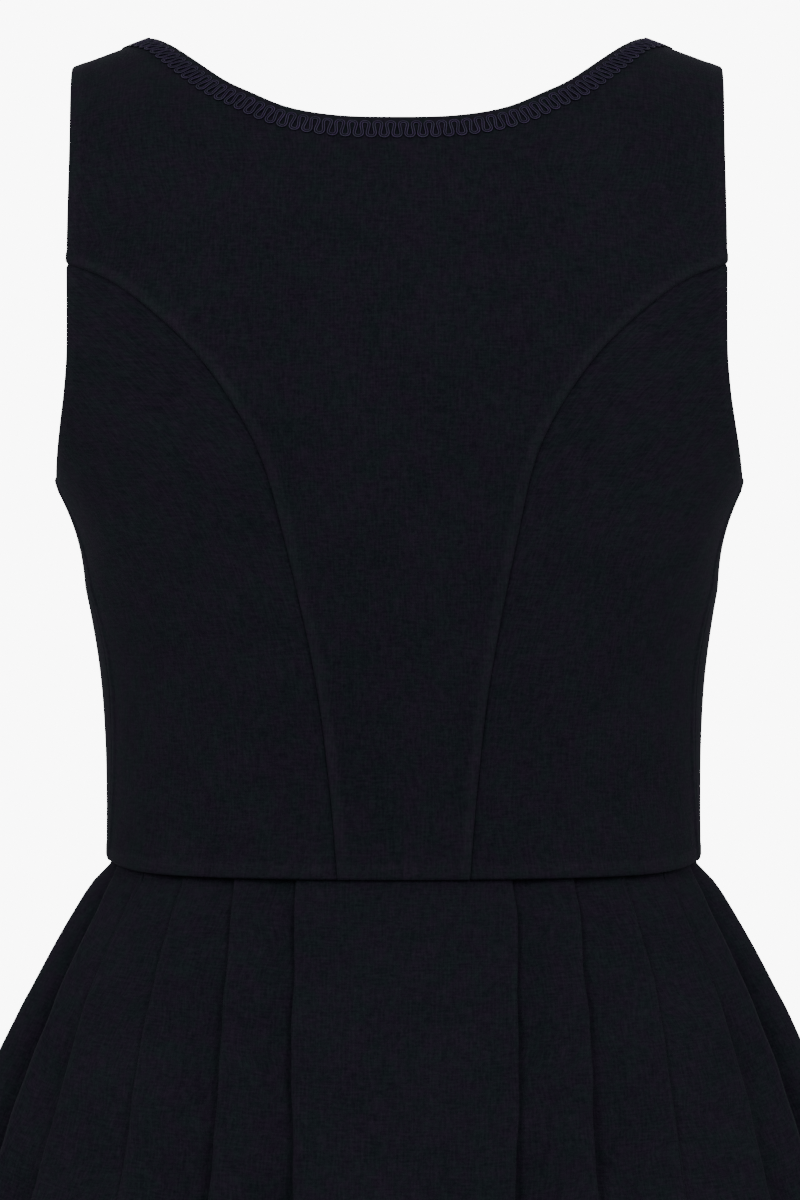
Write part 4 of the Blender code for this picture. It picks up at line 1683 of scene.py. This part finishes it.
    def grid(self, corner: Corner) -> tuple[Array, Array, Array]:
        """Rows of points from the waist to the hem over one quarter, as for the wearer's left.

        Args:
            corner: The quarter's side and hand.

        Returns:
            Positions, places on the flat cloth, and press.
        """
        rows = []
        for drop in self.drops():
            points, out, way = self.quarter(drop, corner[0])
            corners, parts, pleat = self.pleated(drop, way[-1], corner)
            place, facing = (
                np.stack([np.interp(corners[:, 0], way, values[:, k]) for k in (0, 1)], axis=-1)
                for values in (points, out)
            )
            rise = self.form.lifted_side(place[:, 0] / points[:, 0].max(), drop)
            height = WAIST_Z - drop + self.share_of_rise * rise
            rows.append(rounded_line(np.column_stack((place - facing * corners[:, 1:], height)), parts))
        owner = np.append(np.repeat(pleat, parts), pleat[-1])
        points = np.array(rows)
        along = walked(points, 1)
        place = np.zeros(along.shape + (2,))
        for own in range(owner[-1] + 1):
            columns = np.flatnonzero(owner == own)
            crest = columns[-1] if 0 < own < owner[-1] else columns[0]
            place[:, columns, 0] = along[:, columns] - along[:, crest : crest + 1] + self.pleat_apart * own
        place[..., 1] = -walked(points, 0)
        press = self.pressed(points, owner)
        return points, place, press

    def pressed(self, points: Array, owner: Array) -> Array:
        """How hard each point is pressed: the folds' edges, less and less towards the hem.

        Args:
            points: Rows and columns of positions.
            owner: The pleat that each column belongs to.

        Returns:
            The press, from 0 to 1.
        """
        fade = smooth_step(WAIST_Z - points[..., 2], *self.crease_fade)
        along = walked(points, 1)
        press = np.zeros(points.shape[:2])
        for own in range(owner[-1]):
            edge = np.flatnonzero(owner == own)[-1] - FOLD_EDGE
            way = np.abs(along - along[:, edge : edge + 1])
            press = np.maximum(press, self.crease_press_and_highlight * smooth_step(way, *self.crease_width) * fade)
        return press

    def lift(self, points: Array, side: Side, hand: Hand) -> Array:
        """Slow, uneven swells of the pleats' faces, and the turned hem.

        Args:
            points: Rows and columns of positions, as for the wearer's left.
            side: Back or front.
            hand: Left or right.

        Returns:
            The lift of each point.
        """
        drop = WAIST_Z - points[..., 2]
        angle = np.arctan2(points[..., 0] * hand.value, points[..., 1])
        grown = smooth_step(drop, self.ripple_start, HEM_DROP)
        swell = np.zeros(drop.shape)
        for one in SWELLS:
            start = one.start + one.by_side * side.value
            swell += one.share * np.sin(one.around * angle + one.down * drop + start)
        height = sum(one.share for one in SWELLS)
        hem = HEM_DROP - drop
        above, below = self.hem_turn + self.hem_fade, self.hem_turn - self.hem_fade
        turned = self.hem_rise * smooth_step(hem, above, below)
        rolled = self.hem_roll * np.exp(-((hem / self.hem_roll_width) ** 2))
        return self.ripple * grown * swell / height + turned - rolled

    def layer(self, side: Side, hand: Hand) -> ClothLayer:
        """One quarter as cloth.

        Args:
            side: Back or front.
            hand: Left or right.

        Returns:
            The cloth.
        """
        points, place, press = self.grid((side, hand))
        lifted = points + outward_normals(points) * self.lift(points, side, hand)[..., None]
        lifted[..., 2] = np.maximum(lifted[..., 2], points[..., 2])
        mirrored = lifted * (hand.value, 1.0, 1.0)
        return ClothLayer.from_grid(self.stance.leaned(mirrored), place * (hand.value, 1.0), press)

    def sewn_in(self, name: str, layer: ClothLayer, quarters: int) -> bpy.types.Object:
        """Makes a panel, which flares from waist to hem, and dresses it on its node.

        Args:
            name: The node's name.
            layer: The cloth.
            quarters: How many quarters of the skirt it covers; not used.

        Returns:
            The piece.
        """
        piece = dressed(layer.made(f"{name}.cloth", self.thickness, self.finish), name)
        return piece

    def build(self) -> list[bpy.types.Object]:
        """Makes the back and both fronts.

        Returns:
            The pieces.
        """
        left, right = (self.layer(Side.BACK, hand) for hand in Hand)
        middle = np.arange(self.rows) * (len(left.points) // self.rows)
        shared = (left.points[middle] + right.points[middle]) / 2
        left.points[middle] = right.points[middle] = shared
        pieces = [self.sewn_in("skirt_back", left.joined_along(right, middle, middle), 2)]
        for hand in Hand:
            name = f"skirt_front_{hand.name.lower()}"
            pieces.append(self.sewn_in(name, self.layer(Side.FRONT, hand), 1))
        return pieces


@dataclass(frozen=True)
class Bend:
    """A bend of a wire: across from the opening, inward from the cloth, and up along it."""

    across: float
    inward: float
    up: float


HALF_HOOK = (
    Bend(0.0090, 0.0000, 0.0024),
    Bend(0.0070, 0.0000, 0.0024),
    Bend(0.0050, 0.0000, 0.0007),
    Bend(-0.0036, 0.0000, 0.0007),
    Bend(-0.0046, 0.0013, 0.0007),
    Bend(-0.0036, 0.0026, 0.0007),
    Bend(0.0000, 0.0026, 0.0007),
)
HALF_EYE = (
    Bend(-0.0095, 0.0000, 0.0028),
    Bend(-0.0075, 0.0000, 0.0028),
    Bend(-0.0045, 0.0013, 0.0028),
    Bend(-0.0022, 0.0013, 0.0022),
)


@dataclass
class HooksAndEyes:
    """Seven wire hooks and their eyes, sewn down inside the front edges."""

    edge: Array  # the front edge's points, from the waist up
    stance: Stance
    finish: bpy.types.Material
    pairs: int = 7
    lowest: float = 0.016  # the lowest pair's height above the waist seam
    spacing: float = 0.034
    wire: float = 0.4 * MM  # radius
    cloth: float = 1.6 * MM  # the cloth's thickness
    clear: float = 1.2 * MM  # from its inside to the wire's middle
    rise: float = 4.0 * MM  # over which the edge's lean is measured
    bend_parts: int = 5  # steps from one bend to the next

    def bent(self, name: str, half: Sequence[Bend], height: float) -> bpy.types.Object:
        """A bent wire, the same above and below its middle.

        Args:
            name: The node that it stands for.
            half: Its bends above its middle, from its end.
            height: How far above the waist seam it lies.

        Returns:
            The piece.
        """
        bends = [(b.across, b.inward, b.up) for b in half]
        bends += [(b.across, b.inward, -b.up) for b in reversed(half)]
        line = rounded_line(np.array(bends), [self.bend_parts] * (len(bends) - 1))
        curve = bpy.data.curves.new(f"{name}.wire", "CURVE")
        curve.dimensions = "3D"
        curve.bevel_depth = self.wire
        curve.bevel_resolution = 3
        curve.use_fill_caps = True
        spline = curve.splines.new("POLY")
        spline.points.add(len(line) - 1)
        spline.points.foreach_set("co", np.column_stack((line, np.ones(len(line)))).ravel())
        spline.use_smooth = True
        curve.materials.append(self.finish)
        z = height + WAIST_Z
        y, above = (float(np.interp(at, self.edge[:, 2], self.edge[:, 1])) for at in (z, z + self.rise))
        lean = math.atan2(y - above, self.rise)
        piece = linked(f"{name}.wire", curve)
        shift = float(self.stance.lean(height))
        piece.location = (shift, y + (self.cloth + self.clear) / math.cos(lean), z)
        piece.rotation_euler.x = lean
        return dressed(piece, name)

    def build(self) -> list[bpy.types.Object]:
        """Makes every pair.

        Returns:
            The pieces.
        """
        pieces = []
        for i in range(self.pairs):
            height = self.lowest + i * self.spacing
            pieces.append(self.bent(f"hook_{i + 1}", HALF_HOOK, height))
            pieces.append(self.bent(f"eye_{i + 1}", HALF_EYE, height))
        return pieces


Socket = bpy.types.NodeSocket
Colour = tuple[float, float, float, float]


@dataclass(frozen=True)
class Patches:
    """Uneven patches of a shade: their width and length, their finer layers, and what becomes 0 and 1."""

    sizes: tuple[float, float]
    detail: float
    rough: float
    low: float
    high: float


class ShaderBoard:
    """Adds shader nodes to one material and joins them."""

    def __init__(self, name: str) -> None:
        """Starts a material with one Principled surface.

        Args:
            name: The material's name.
        """
        self.material = bpy.data.materials.new(name)
        self.material.use_nodes = True
        self.tree = self.material.node_tree
        self.surface = self.tree.nodes["Principled BSDF"]

    def feed(self, socket: Socket, value: object) -> None:
        """Links a socket to a value's socket, or sets it to a plain number or colour.

        Args:
            socket: The socket.
            value: The value.
        """
        if isinstance(value, bpy.types.NodeSocket):
            self.tree.links.new(value, socket)
        else:
            socket.default_value = value

    def place(self) -> Socket:
        """Each point's place on the flat cloth, in metres.

        Returns:
            The place.
        """
        node = self.tree.nodes.new("ShaderNodeUVMap")
        node.uv_map = CLOTH_MAP
        return node.outputs["UV"]

    def local(self) -> Socket:
        """Each point's place in its own object."""
        return self.tree.nodes.new("ShaderNodeTexCoord").outputs["Object"]

    def pressed(self) -> Socket:
        """How hard each point has been pressed.

        Returns:
            The press, from 0 to 1.
        """
        node = self.tree.nodes.new("ShaderNodeAttribute")
        node.attribute_name = PRESS_AND_HIGHLIGHT
        return node.outputs["Fac"]

    def sums(self, operation: str, first: object, second: object = 0.0) -> Socket:
        """A number worked out from one or two others.

        Args:
            operation: Blender's name of the sum.
            first: Its first number.
            second: Its second number.

        Returns:
            The answer.
        """
        node = self.tree.nodes.new("ShaderNodeMath")
        node.operation = operation
        self.feed(node.inputs[0], first)
        self.feed(node.inputs[1], second)
        return node.outputs[0]

    def scaled(self, vector: Socket, scale: tuple[float, float, float]) -> Socket:
        """A place stretched along each axis.

        Args:
            vector: The place.
            scale: How far it is stretched along each.

        Returns:
            The stretched place.
        """
        node = self.tree.nodes.new("ShaderNodeVectorMath")
        node.operation = "MULTIPLY"
        self.feed(node.inputs[0], vector)
        node.inputs[1].default_value = scale
        return node.outputs[0]

    def noise(
        self, vector: Socket, sizes: tuple[float, float], detail: float = 2.0, rough: float = 0.5
    ) -> Socket:
        """Uneven patches.

        Args:
            vector: The place on the cloth.
            sizes: A patch's width and length, in metres.
            detail: How many finer layers it has.
            rough: How strong the finer layers are.

        Returns:
            A share around one half.
        """
        node = self.tree.nodes.new("ShaderNodeTexNoise")
        node.noise_dimensions = "2D"
        self.feed(node.inputs["Vector"], self.scaled(vector, (1 / sizes[0], 1 / sizes[1], 1.0)))
        node.inputs["Scale"].default_value = 1.0
        node.inputs["Detail"].default_value = detail
        node.inputs["Roughness"].default_value = rough
        return node.outputs[0]

    def spread(
        self, value: Socket, low: float, high: float, start: float = 0.0, end: float = 1.0
    ) -> Socket:
        """A share stretched so that low and high become start and end.

        Args:
            value: The share.
            low: What becomes start.
            high: What becomes end.
            start: The least answer.
            end: The greatest.

        Returns:
            The answer.
        """
        node = self.tree.nodes.new("ShaderNodeMapRange")
        node.interpolation_type = "SMOOTHSTEP"
        for name, number in zip(("From Min", "From Max", "To Min", "To Max"), (low, high, start, end)):
            node.inputs[name].default_value = number
        self.feed(node.inputs["Value"], value)
        return node.outputs["Result"]

    def patches(self, vector: Socket, kind: Patches) -> Socket:
        """A share that some uneven patches give."""
        return self.spread(self.noise(vector, kind.sizes, kind.detail, kind.rough), kind.low, kind.high)

    def weighed(self, parts: Iterable[tuple[Socket, float]], start: object) -> Socket:
        """The sum of some parts.

        Args:
            parts: Each part and its weight.
            start: What is added to them.

        Returns:
            The sum.
        """
        for part, weight in parts:
            start = self.sums("ADD", self.sums("MULTIPLY", part, weight), start)
        return start

    def along(self, vector: Socket, axis: int) -> Socket:
        """A place's distance along one axis.

        Args:
            vector: The place.
            axis: 0, 1 or 2.

        Returns:
            The distance.
        """
        split = self.tree.nodes.new("ShaderNodeSeparateXYZ")
        self.feed(split.inputs[0], vector)
        return split.outputs[axis]

    def coated(self, **values: object) -> bpy.types.Material:
        """Sets the surface's inputs, whose names are given with _ for a space.

        Args:
            values: Each input's value or socket.

        Returns:
            The material.
        """
        for name, value in values.items():
            self.feed(self.surface.inputs[name.replace("_", " ")], value)
        return self.material

    def blended(self, share: Socket, first: object, second: object) -> Socket:
        """A colour between two others.

        Args:
            share: How near it is to the second.
            first: The first colour.
            second: The second.

        Returns:
            The colour.
        """
        node = self.tree.nodes.new("ShaderNodeMix")
        node.data_type = "RGBA"
        self.feed(node.inputs[0], share)
        self.feed(node.inputs[6], first)
        self.feed(node.inputs[7], second)
        return node.outputs[2]

    def bumped(self, height: Socket, strength: float, distance: float) -> None:
        """Raises the surface's fine relief.

        Args:
            height: The relief, from 0 to 1.
            strength: How strongly it shows.
            distance: Its height in metres.
        """
        node = self.tree.nodes.new("ShaderNodeBump")
        node.inputs["Strength"].default_value = strength
        node.inputs["Distance"].default_value = distance
        self.feed(node.inputs["Height"], height)
        self.feed(self.surface.inputs["Normal"], node.outputs["Normal"])


@dataclass(frozen=True)
class ClothFinish:
    """A matt, near-black plain weave of mixed teal, plum and grey yarns with fine slubs, painted lighter
    where it is pressed as a painted highlight.
    """

    name: str = "night_cloth"
    dark_teal: Colour = (0.0022, 0.0036, 0.0055, 1.0)
    light_teal: Colour = (0.0113, 0.0170, 0.0188, 1.0)
    dark_plum: Colour = (0.0038, 0.0025, 0.0065, 1.0)
    light_plum: Colour = (0.0172, 0.0120, 0.0222, 1.0)
    thread: float = 0.52 * MM
    weft_slub: Patches = Patches((8.0 * MM, 0.90 * MM), 1.0, 0.5, 0.34, 0.70)
    warp_slub: Patches = Patches((0.90 * MM, 10.0 * MM), 1.0, 0.5, 0.36, 0.72)
    melange: Patches = Patches((1.3 * MM, 1.3 * MM), 2.0, 0.5, 0.22, 0.78)
    blot: Patches = Patches((3.4 * MM, 3.4 * MM), 2.0, 0.5, 0.25, 0.75)
    cloud: Patches = Patches((38.0 * MM, 30.0 * MM), 4.0, 0.6, 0.2, 0.8)
    hue: Patches = Patches((15.0 * MM, 15.0 * MM), 5.0, 0.80, 0.30, 0.70)
    # The last share, the press, is a painted highlight along seams, turned edges and fold edges.
    shares: tuple[float, ...] = (0.02, 0.14, 0.15, 0.18, 0.12, 0.10, 0.10)  # in the shade, weave to press
    shade: float = -0.02  # what is added to them
    worn: tuple[float, float] = (0.6, 0.4)  # shares of press and melange in the shine
    reliefs: tuple[float, ...] = (0.15, 0.40, 0.40, 0.30)  # of weave, slubs and melange, in the relief
    bump: float = 0.28
    bump_height: float = 0.20 * MM
    sheen: float = 0.02
    sheen_roughness: float = 0.45
    sheen_tint: Colour = (0.62, 0.68, 0.90, 1.0)
    specular: float = 0.06
    roughness: tuple[float, float] = (0.92, 0.74)

    def made(self) -> bpy.types.Material:
        """Builds the material.

        Returns:
            The material.
        """
        board = ShaderBoard(self.name)
        place, press = board.place(), board.pressed()
        turn = math.pi / self.thread
        turns = (board.sums("MULTIPLY", board.along(place, i), turn) for i in (0, 1))
        warp, weft = (board.sums("SINE", angle) for angle in turns)
        kinds = (self.weft_slub, self.warp_slub, self.melange, self.blot, self.cloud)
        # The press lightens the colour here as a painted highlight, beside the real gloss that it gives
        # through the roughness.
        parts = [board.sums("MULTIPLY", warp, weft), *(board.patches(place, kind) for kind in kinds), press]
        share = board.weighed(zip(parts, self.shares), self.shade)
        teal = board.blended(share, self.dark_teal, self.light_teal)
        plum = board.blended(share, self.dark_plum, self.light_plum)
        worn = board.weighed(zip((press, parts[3]), self.worn), 0.0)
        board.bumped(board.weighed(zip(parts, self.reliefs), 0.0), self.bump, self.bump_height)
        return board.coated(
            Base_Color=board.blended(board.patches(place, self.hue), teal, plum),
            Roughness=board.spread(worn, 0.0, 1.0, *self.roughness),
            Sheen_Weight=self.sheen,
            Sheen_Roughness=self.sheen_roughness,
            Sheen_Tint=self.sheen_tint,
            Specular_IOR_Level=self.specular,
        )


@dataclass(frozen=True)
class BraidFinish:
    """A rayon cord of two twisted plies, violet to slate, with painted shade in the groove between its
    plies and at its sides, and a painted highlight along each ply's crown.
    """

    name: str = "violet_cord"
    # The navy of the darker yarns, and the painted shade in the groove between the plies and at the cord's
    # sides.
    dark: Colour = (0.0020, 0.0016, 0.0070, 1.0)
    violet: Colour = (0.0590, 0.0370, 0.0950, 1.0)
    slate: Colour = (0.0430, 0.0430, 0.0680, 1.0)
    strand: float = 0.75 * MM  # along the cord from one strand's crest to the next
    crown: float = 0.62  # where a ply is highest, from the middle to the edge
    dye: Patches = Patches((9.0 * MM, 9.0), 2.0, 0.5, 0.3, 0.7)  # 9 keeps it even round the cord
    hue: Patches = Patches((5.0 * MM, 9.0), 3.0, 0.6, 0.35, 0.65)
    fibre_sizes: tuple[float, float] = (0.9 * MM, 0.06)
    # The plies' height becomes painted shade in the groove and at the sides, and a painted highlight on the
    # crowns.
    groove: tuple[float, ...] = (0.66, 1.0, -0.55, 0.70)  # the plies' height, and the shade that it gives
    shares: tuple[float, ...] = (0.16, 0.18, 0.22)  # of crest, fibre and dye, in the shade
    reliefs: tuple[float, ...] = (1.0, 0.3)  # of crest and fibre, in the relief
    bump: float = 0.8
    bump_height: float = 0.10 * MM
    roughness: tuple[float, ...] = (0.2, 0.8, 0.46, 0.66)  # the fibre, and the roughness that it gives
    specular: float = 0.10

    def made(self) -> bpy.types.Material:
        """Builds the material.

        Returns:
            The material.
        """
        board = ShaderBoard(self.name)
        place = board.place()
        along = board.sums("MULTIPLY", board.along(place, 0), 2 * math.pi / self.strand)
        around = board.sums("MULTIPLY", board.along(place, 1), 2 * math.pi)
        out = board.sums("ABSOLUTE", board.sums("COSINE", around))
        ply_shading = board.sums("SUBTRACT", 1.0, board.sums("ABSOLUTE", board.sums("SUBTRACT", out, self.crown)))
        crest = board.spread(board.sums("SINE", board.sums("ADD", along, around)), -1.0, 1.0)
        fibre = board.noise(place, self.fibre_sizes, 2.0, 0.6)
        parts = (crest, fibre, board.patches(place, self.dye))
        # Painted shade in the groove and at the cord's sides, and a painted highlight on each ply's crown.
        share = board.weighed(zip(parts, self.shares), board.spread(ply_shading, *self.groove))
        light = board.blended(board.patches(place, self.hue), self.violet, self.slate)
        board.bumped(board.weighed(zip(parts, self.reliefs), 0.0), self.bump, self.bump_height)
        return board.coated(
            Base_Color=board.blended(share, self.dark, light),
            Roughness=board.spread(fibre, *self.roughness),
            Specular_IOR_Level=self.specular,
        )


@dataclass(frozen=True)
class WireFinish:
    """Black-lacquered steel wire, rubbed brighter in small patches."""

    name: str = "lacquered_wire"
    lacquer: Colour = (0.012, 0.012, 0.014, 1.0)
    steel: Colour = (0.30, 0.29, 0.28, 1.0)
    rub: Patches = Patches((0.7 * MM, 0.7 * MM), 4.0, 0.6, 0.58, 0.74)
    metal: tuple[float, float] = (0.0, 0.9)  # of the lacquer and the steel
    roughness: tuple[float, float] = (0.28, 0.42)
    grain: tuple[float, float] = (0.25 * MM, 0.25 * MM)
    bump: float = 0.25
    bump_height: float = 0.02 * MM

    def made(self) -> bpy.types.Material:
        """Builds the material.

        Returns:
            The material.
        """
        board = ShaderBoard(self.name)
        where = board.local()
        rub = board.patches(where, self.rub)
        board.bumped(board.noise(where, self.grain), self.bump, self.bump_height)
        return board.coated(
            Base_Color=board.blended(rub, self.lacquer, self.steel),
            Metallic=board.spread(rub, 0.0, 1.0, *self.metal),
            Roughness=board.spread(rub, 0.0, 1.0, *self.roughness),
        )


@dataclass(frozen=True)
class PaintFinish:
    """Pale studio paint with a faint unevenness."""

    name: str = "pale_paint"
    colour: Colour = (0.80, 0.80, 0.80, 1.0)
    lighter: float = 1.04  # how much lighter its light patches are
    patch: float = 0.5

    def made(self) -> bpy.types.Material:
        """Builds the material.

        Returns:
            The material.
        """
        board = ShaderBoard(self.name)
        patch = board.noise(board.local(), (self.patch, self.patch), 3.0)
        lighter = tuple(min(value * self.lighter, 1.0) for value in self.colour)
        colour = board.blended(patch, self.colour, lighter)
        return board.coated(Base_Color=colour, Roughness=0.9, Specular_IOR_Level=0.1)


@dataclass(frozen=True)
class Lamp:
    """A soft studio lamp."""

    name: str
    place: tuple[float, float, float]
    size: tuple[float, float]
    watts: float


LAMPS = (
    Lamp("softbox_left", (1.5, 2.5, 0.95), (1.2, 1.8), 47.0),
    Lamp("softbox_right", (-1.5, 2.5, 0.95), (1.2, 1.8), 47.0),
    Lamp("softbox_side_left", (2.8, 0.2, 0.6), (1.2, 1.8), 22.0),
    Lamp("softbox_side_right", (-2.8, 0.2, 0.6), (1.2, 1.8), 22.0),
    Lamp("softbox_front", (0.0, -2.6, 0.8), (1.6, 1.6), 10.0),
    Lamp("softbox_top", (0.0, 1.6, 2.4), (1.8, 1.2), 1.5),
)


@dataclass
class Studio:
    """White surroundings, a pale floor, soft lamps and the camera, which looks at the garment's back."""

    distance: float = 2.7
    eye: float = 0.184  # camera above the waist seam
    aim: float = 0.1242  # middle of its view above the waist seam
    view_height: float = 0.5605  # what it sees at the garment's middle
    sensor: float = 36.0  # in millimetres
    floor_below: float = 0.34  # under the hem
    floor_radius: float = 2.4
    floor_rings: tuple[float, ...] = (0.35, 0.7, 0.9, 0.97, 1.0)  # shares of the radius
    floor_sink: tuple[float, ...] = (0.0, 0.0, 0.0, 0.02, 0.08)
    floor_sides: int = 96
    sky: float = 0.36  # how brightly the surroundings light the garment
    wall: float = 9.0  # how bright they look themselves

    def build(self) -> None:
        """Makes the floor, the surroundings, the lamps and the camera."""
        self.floor()
        world = bpy.data.worlds.new("white_room")
        world.use_nodes = True
        tree = world.node_tree
        tree.nodes["Background"].inputs["Color"].default_value = (1.0, 1.0, 1.0, 1.0)
        seen = tree.nodes.new("ShaderNodeMapRange")
        seen.inputs["To Min"].default_value = self.sky
        seen.inputs["To Max"].default_value = self.wall
        tree.links.new(tree.nodes.new("ShaderNodeLightPath").outputs["Is Camera Ray"], seen.inputs["Value"])
        tree.links.new(seen.outputs["Result"], tree.nodes["Background"].inputs["Strength"])
        bpy.context.scene.world = world
        for lamp in LAMPS:
            light = bpy.data.lights.new(lamp.name, "AREA")
            light.shape = "RECTANGLE"
            light.size, light.size_y = lamp.size
            light.energy = lamp.watts
            self.aimed(light, lamp.place)
        camera = bpy.data.cameras.new("camera")
        camera.sensor_width = self.sensor
        camera.lens = self.sensor * self.distance / self.view_height
        bpy.context.scene.camera = self.aimed(camera, (0.0, self.distance, WAIST_Z + self.eye))

    def aimed(self, data: bpy.types.ID, place: tuple[float, float, float]) -> bpy.types.Object:
        """Adds a lamp or a camera that looks at the garment's middle.

        Args:
            data: The lamp or the camera.
            place: Where it stands.

        Returns:
            The object.
        """
        added = linked(data.name, data)
        added.location = place
        toward = Vector((0.0, 0.0, WAIST_Z + self.aim)) - added.location
        added.rotation_euler = toward.to_track_quat("-Z", "Y").to_euler()
        return added

    def floor(self) -> None:
        """A round pale floor under the garment, its rim curving down out of sight."""
        turn = np.linspace(0.0, 2 * math.pi, self.floor_sides + 1)[:-1]
        level = WAIST_Z - HEM_DROP - self.floor_below
        rings = []
        for share, sink in zip(self.floor_rings, self.floor_sink):
            x, y = self.floor_radius * share * np.array((np.cos(turn), np.sin(turn)))
            rings.append(np.column_stack((x, y, np.full(len(turn), level - sink))))
        ids = np.arange(len(rings) * len(turn)).reshape(len(rings), -1)
        faces = quads(np.hstack((ids, ids[:, :1])))[:, ::-1].tolist() + [ids[0].tolist()]
        surfaced("floor", np.concatenate(rings), faces, PaintFinish().made())


def main() -> None:
    """Builds the garment's pieces in order, then the studio."""
    logging.basicConfig(level=logging.INFO, format="%(name)s: %(message)s")
    form = TorsoForm()
    curves = PatternCurves(form)
    stance = Stance()
    cloth = ClothFinish().made()
    bodice = Bodice(curves, stance, cloth)
    for piece in bodice.build():
        LOG.info("built %s", piece.name)
    LOG.info("built %s", NeckBraid(curves, stance, BraidFinish().made()).build().name)
    for piece in Skirt(form, stance, cloth).build():
        LOG.info("built %s", piece.name)
    edge = bodice.edge(bodice.centre_legs(Side.FRONT)[1])
    for piece in HooksAndEyes(edge, stance, WireFinish().made()).build():
        LOG.info("built %s", piece.name)
    Studio().build()


if __name__ == "__main__":
    main()
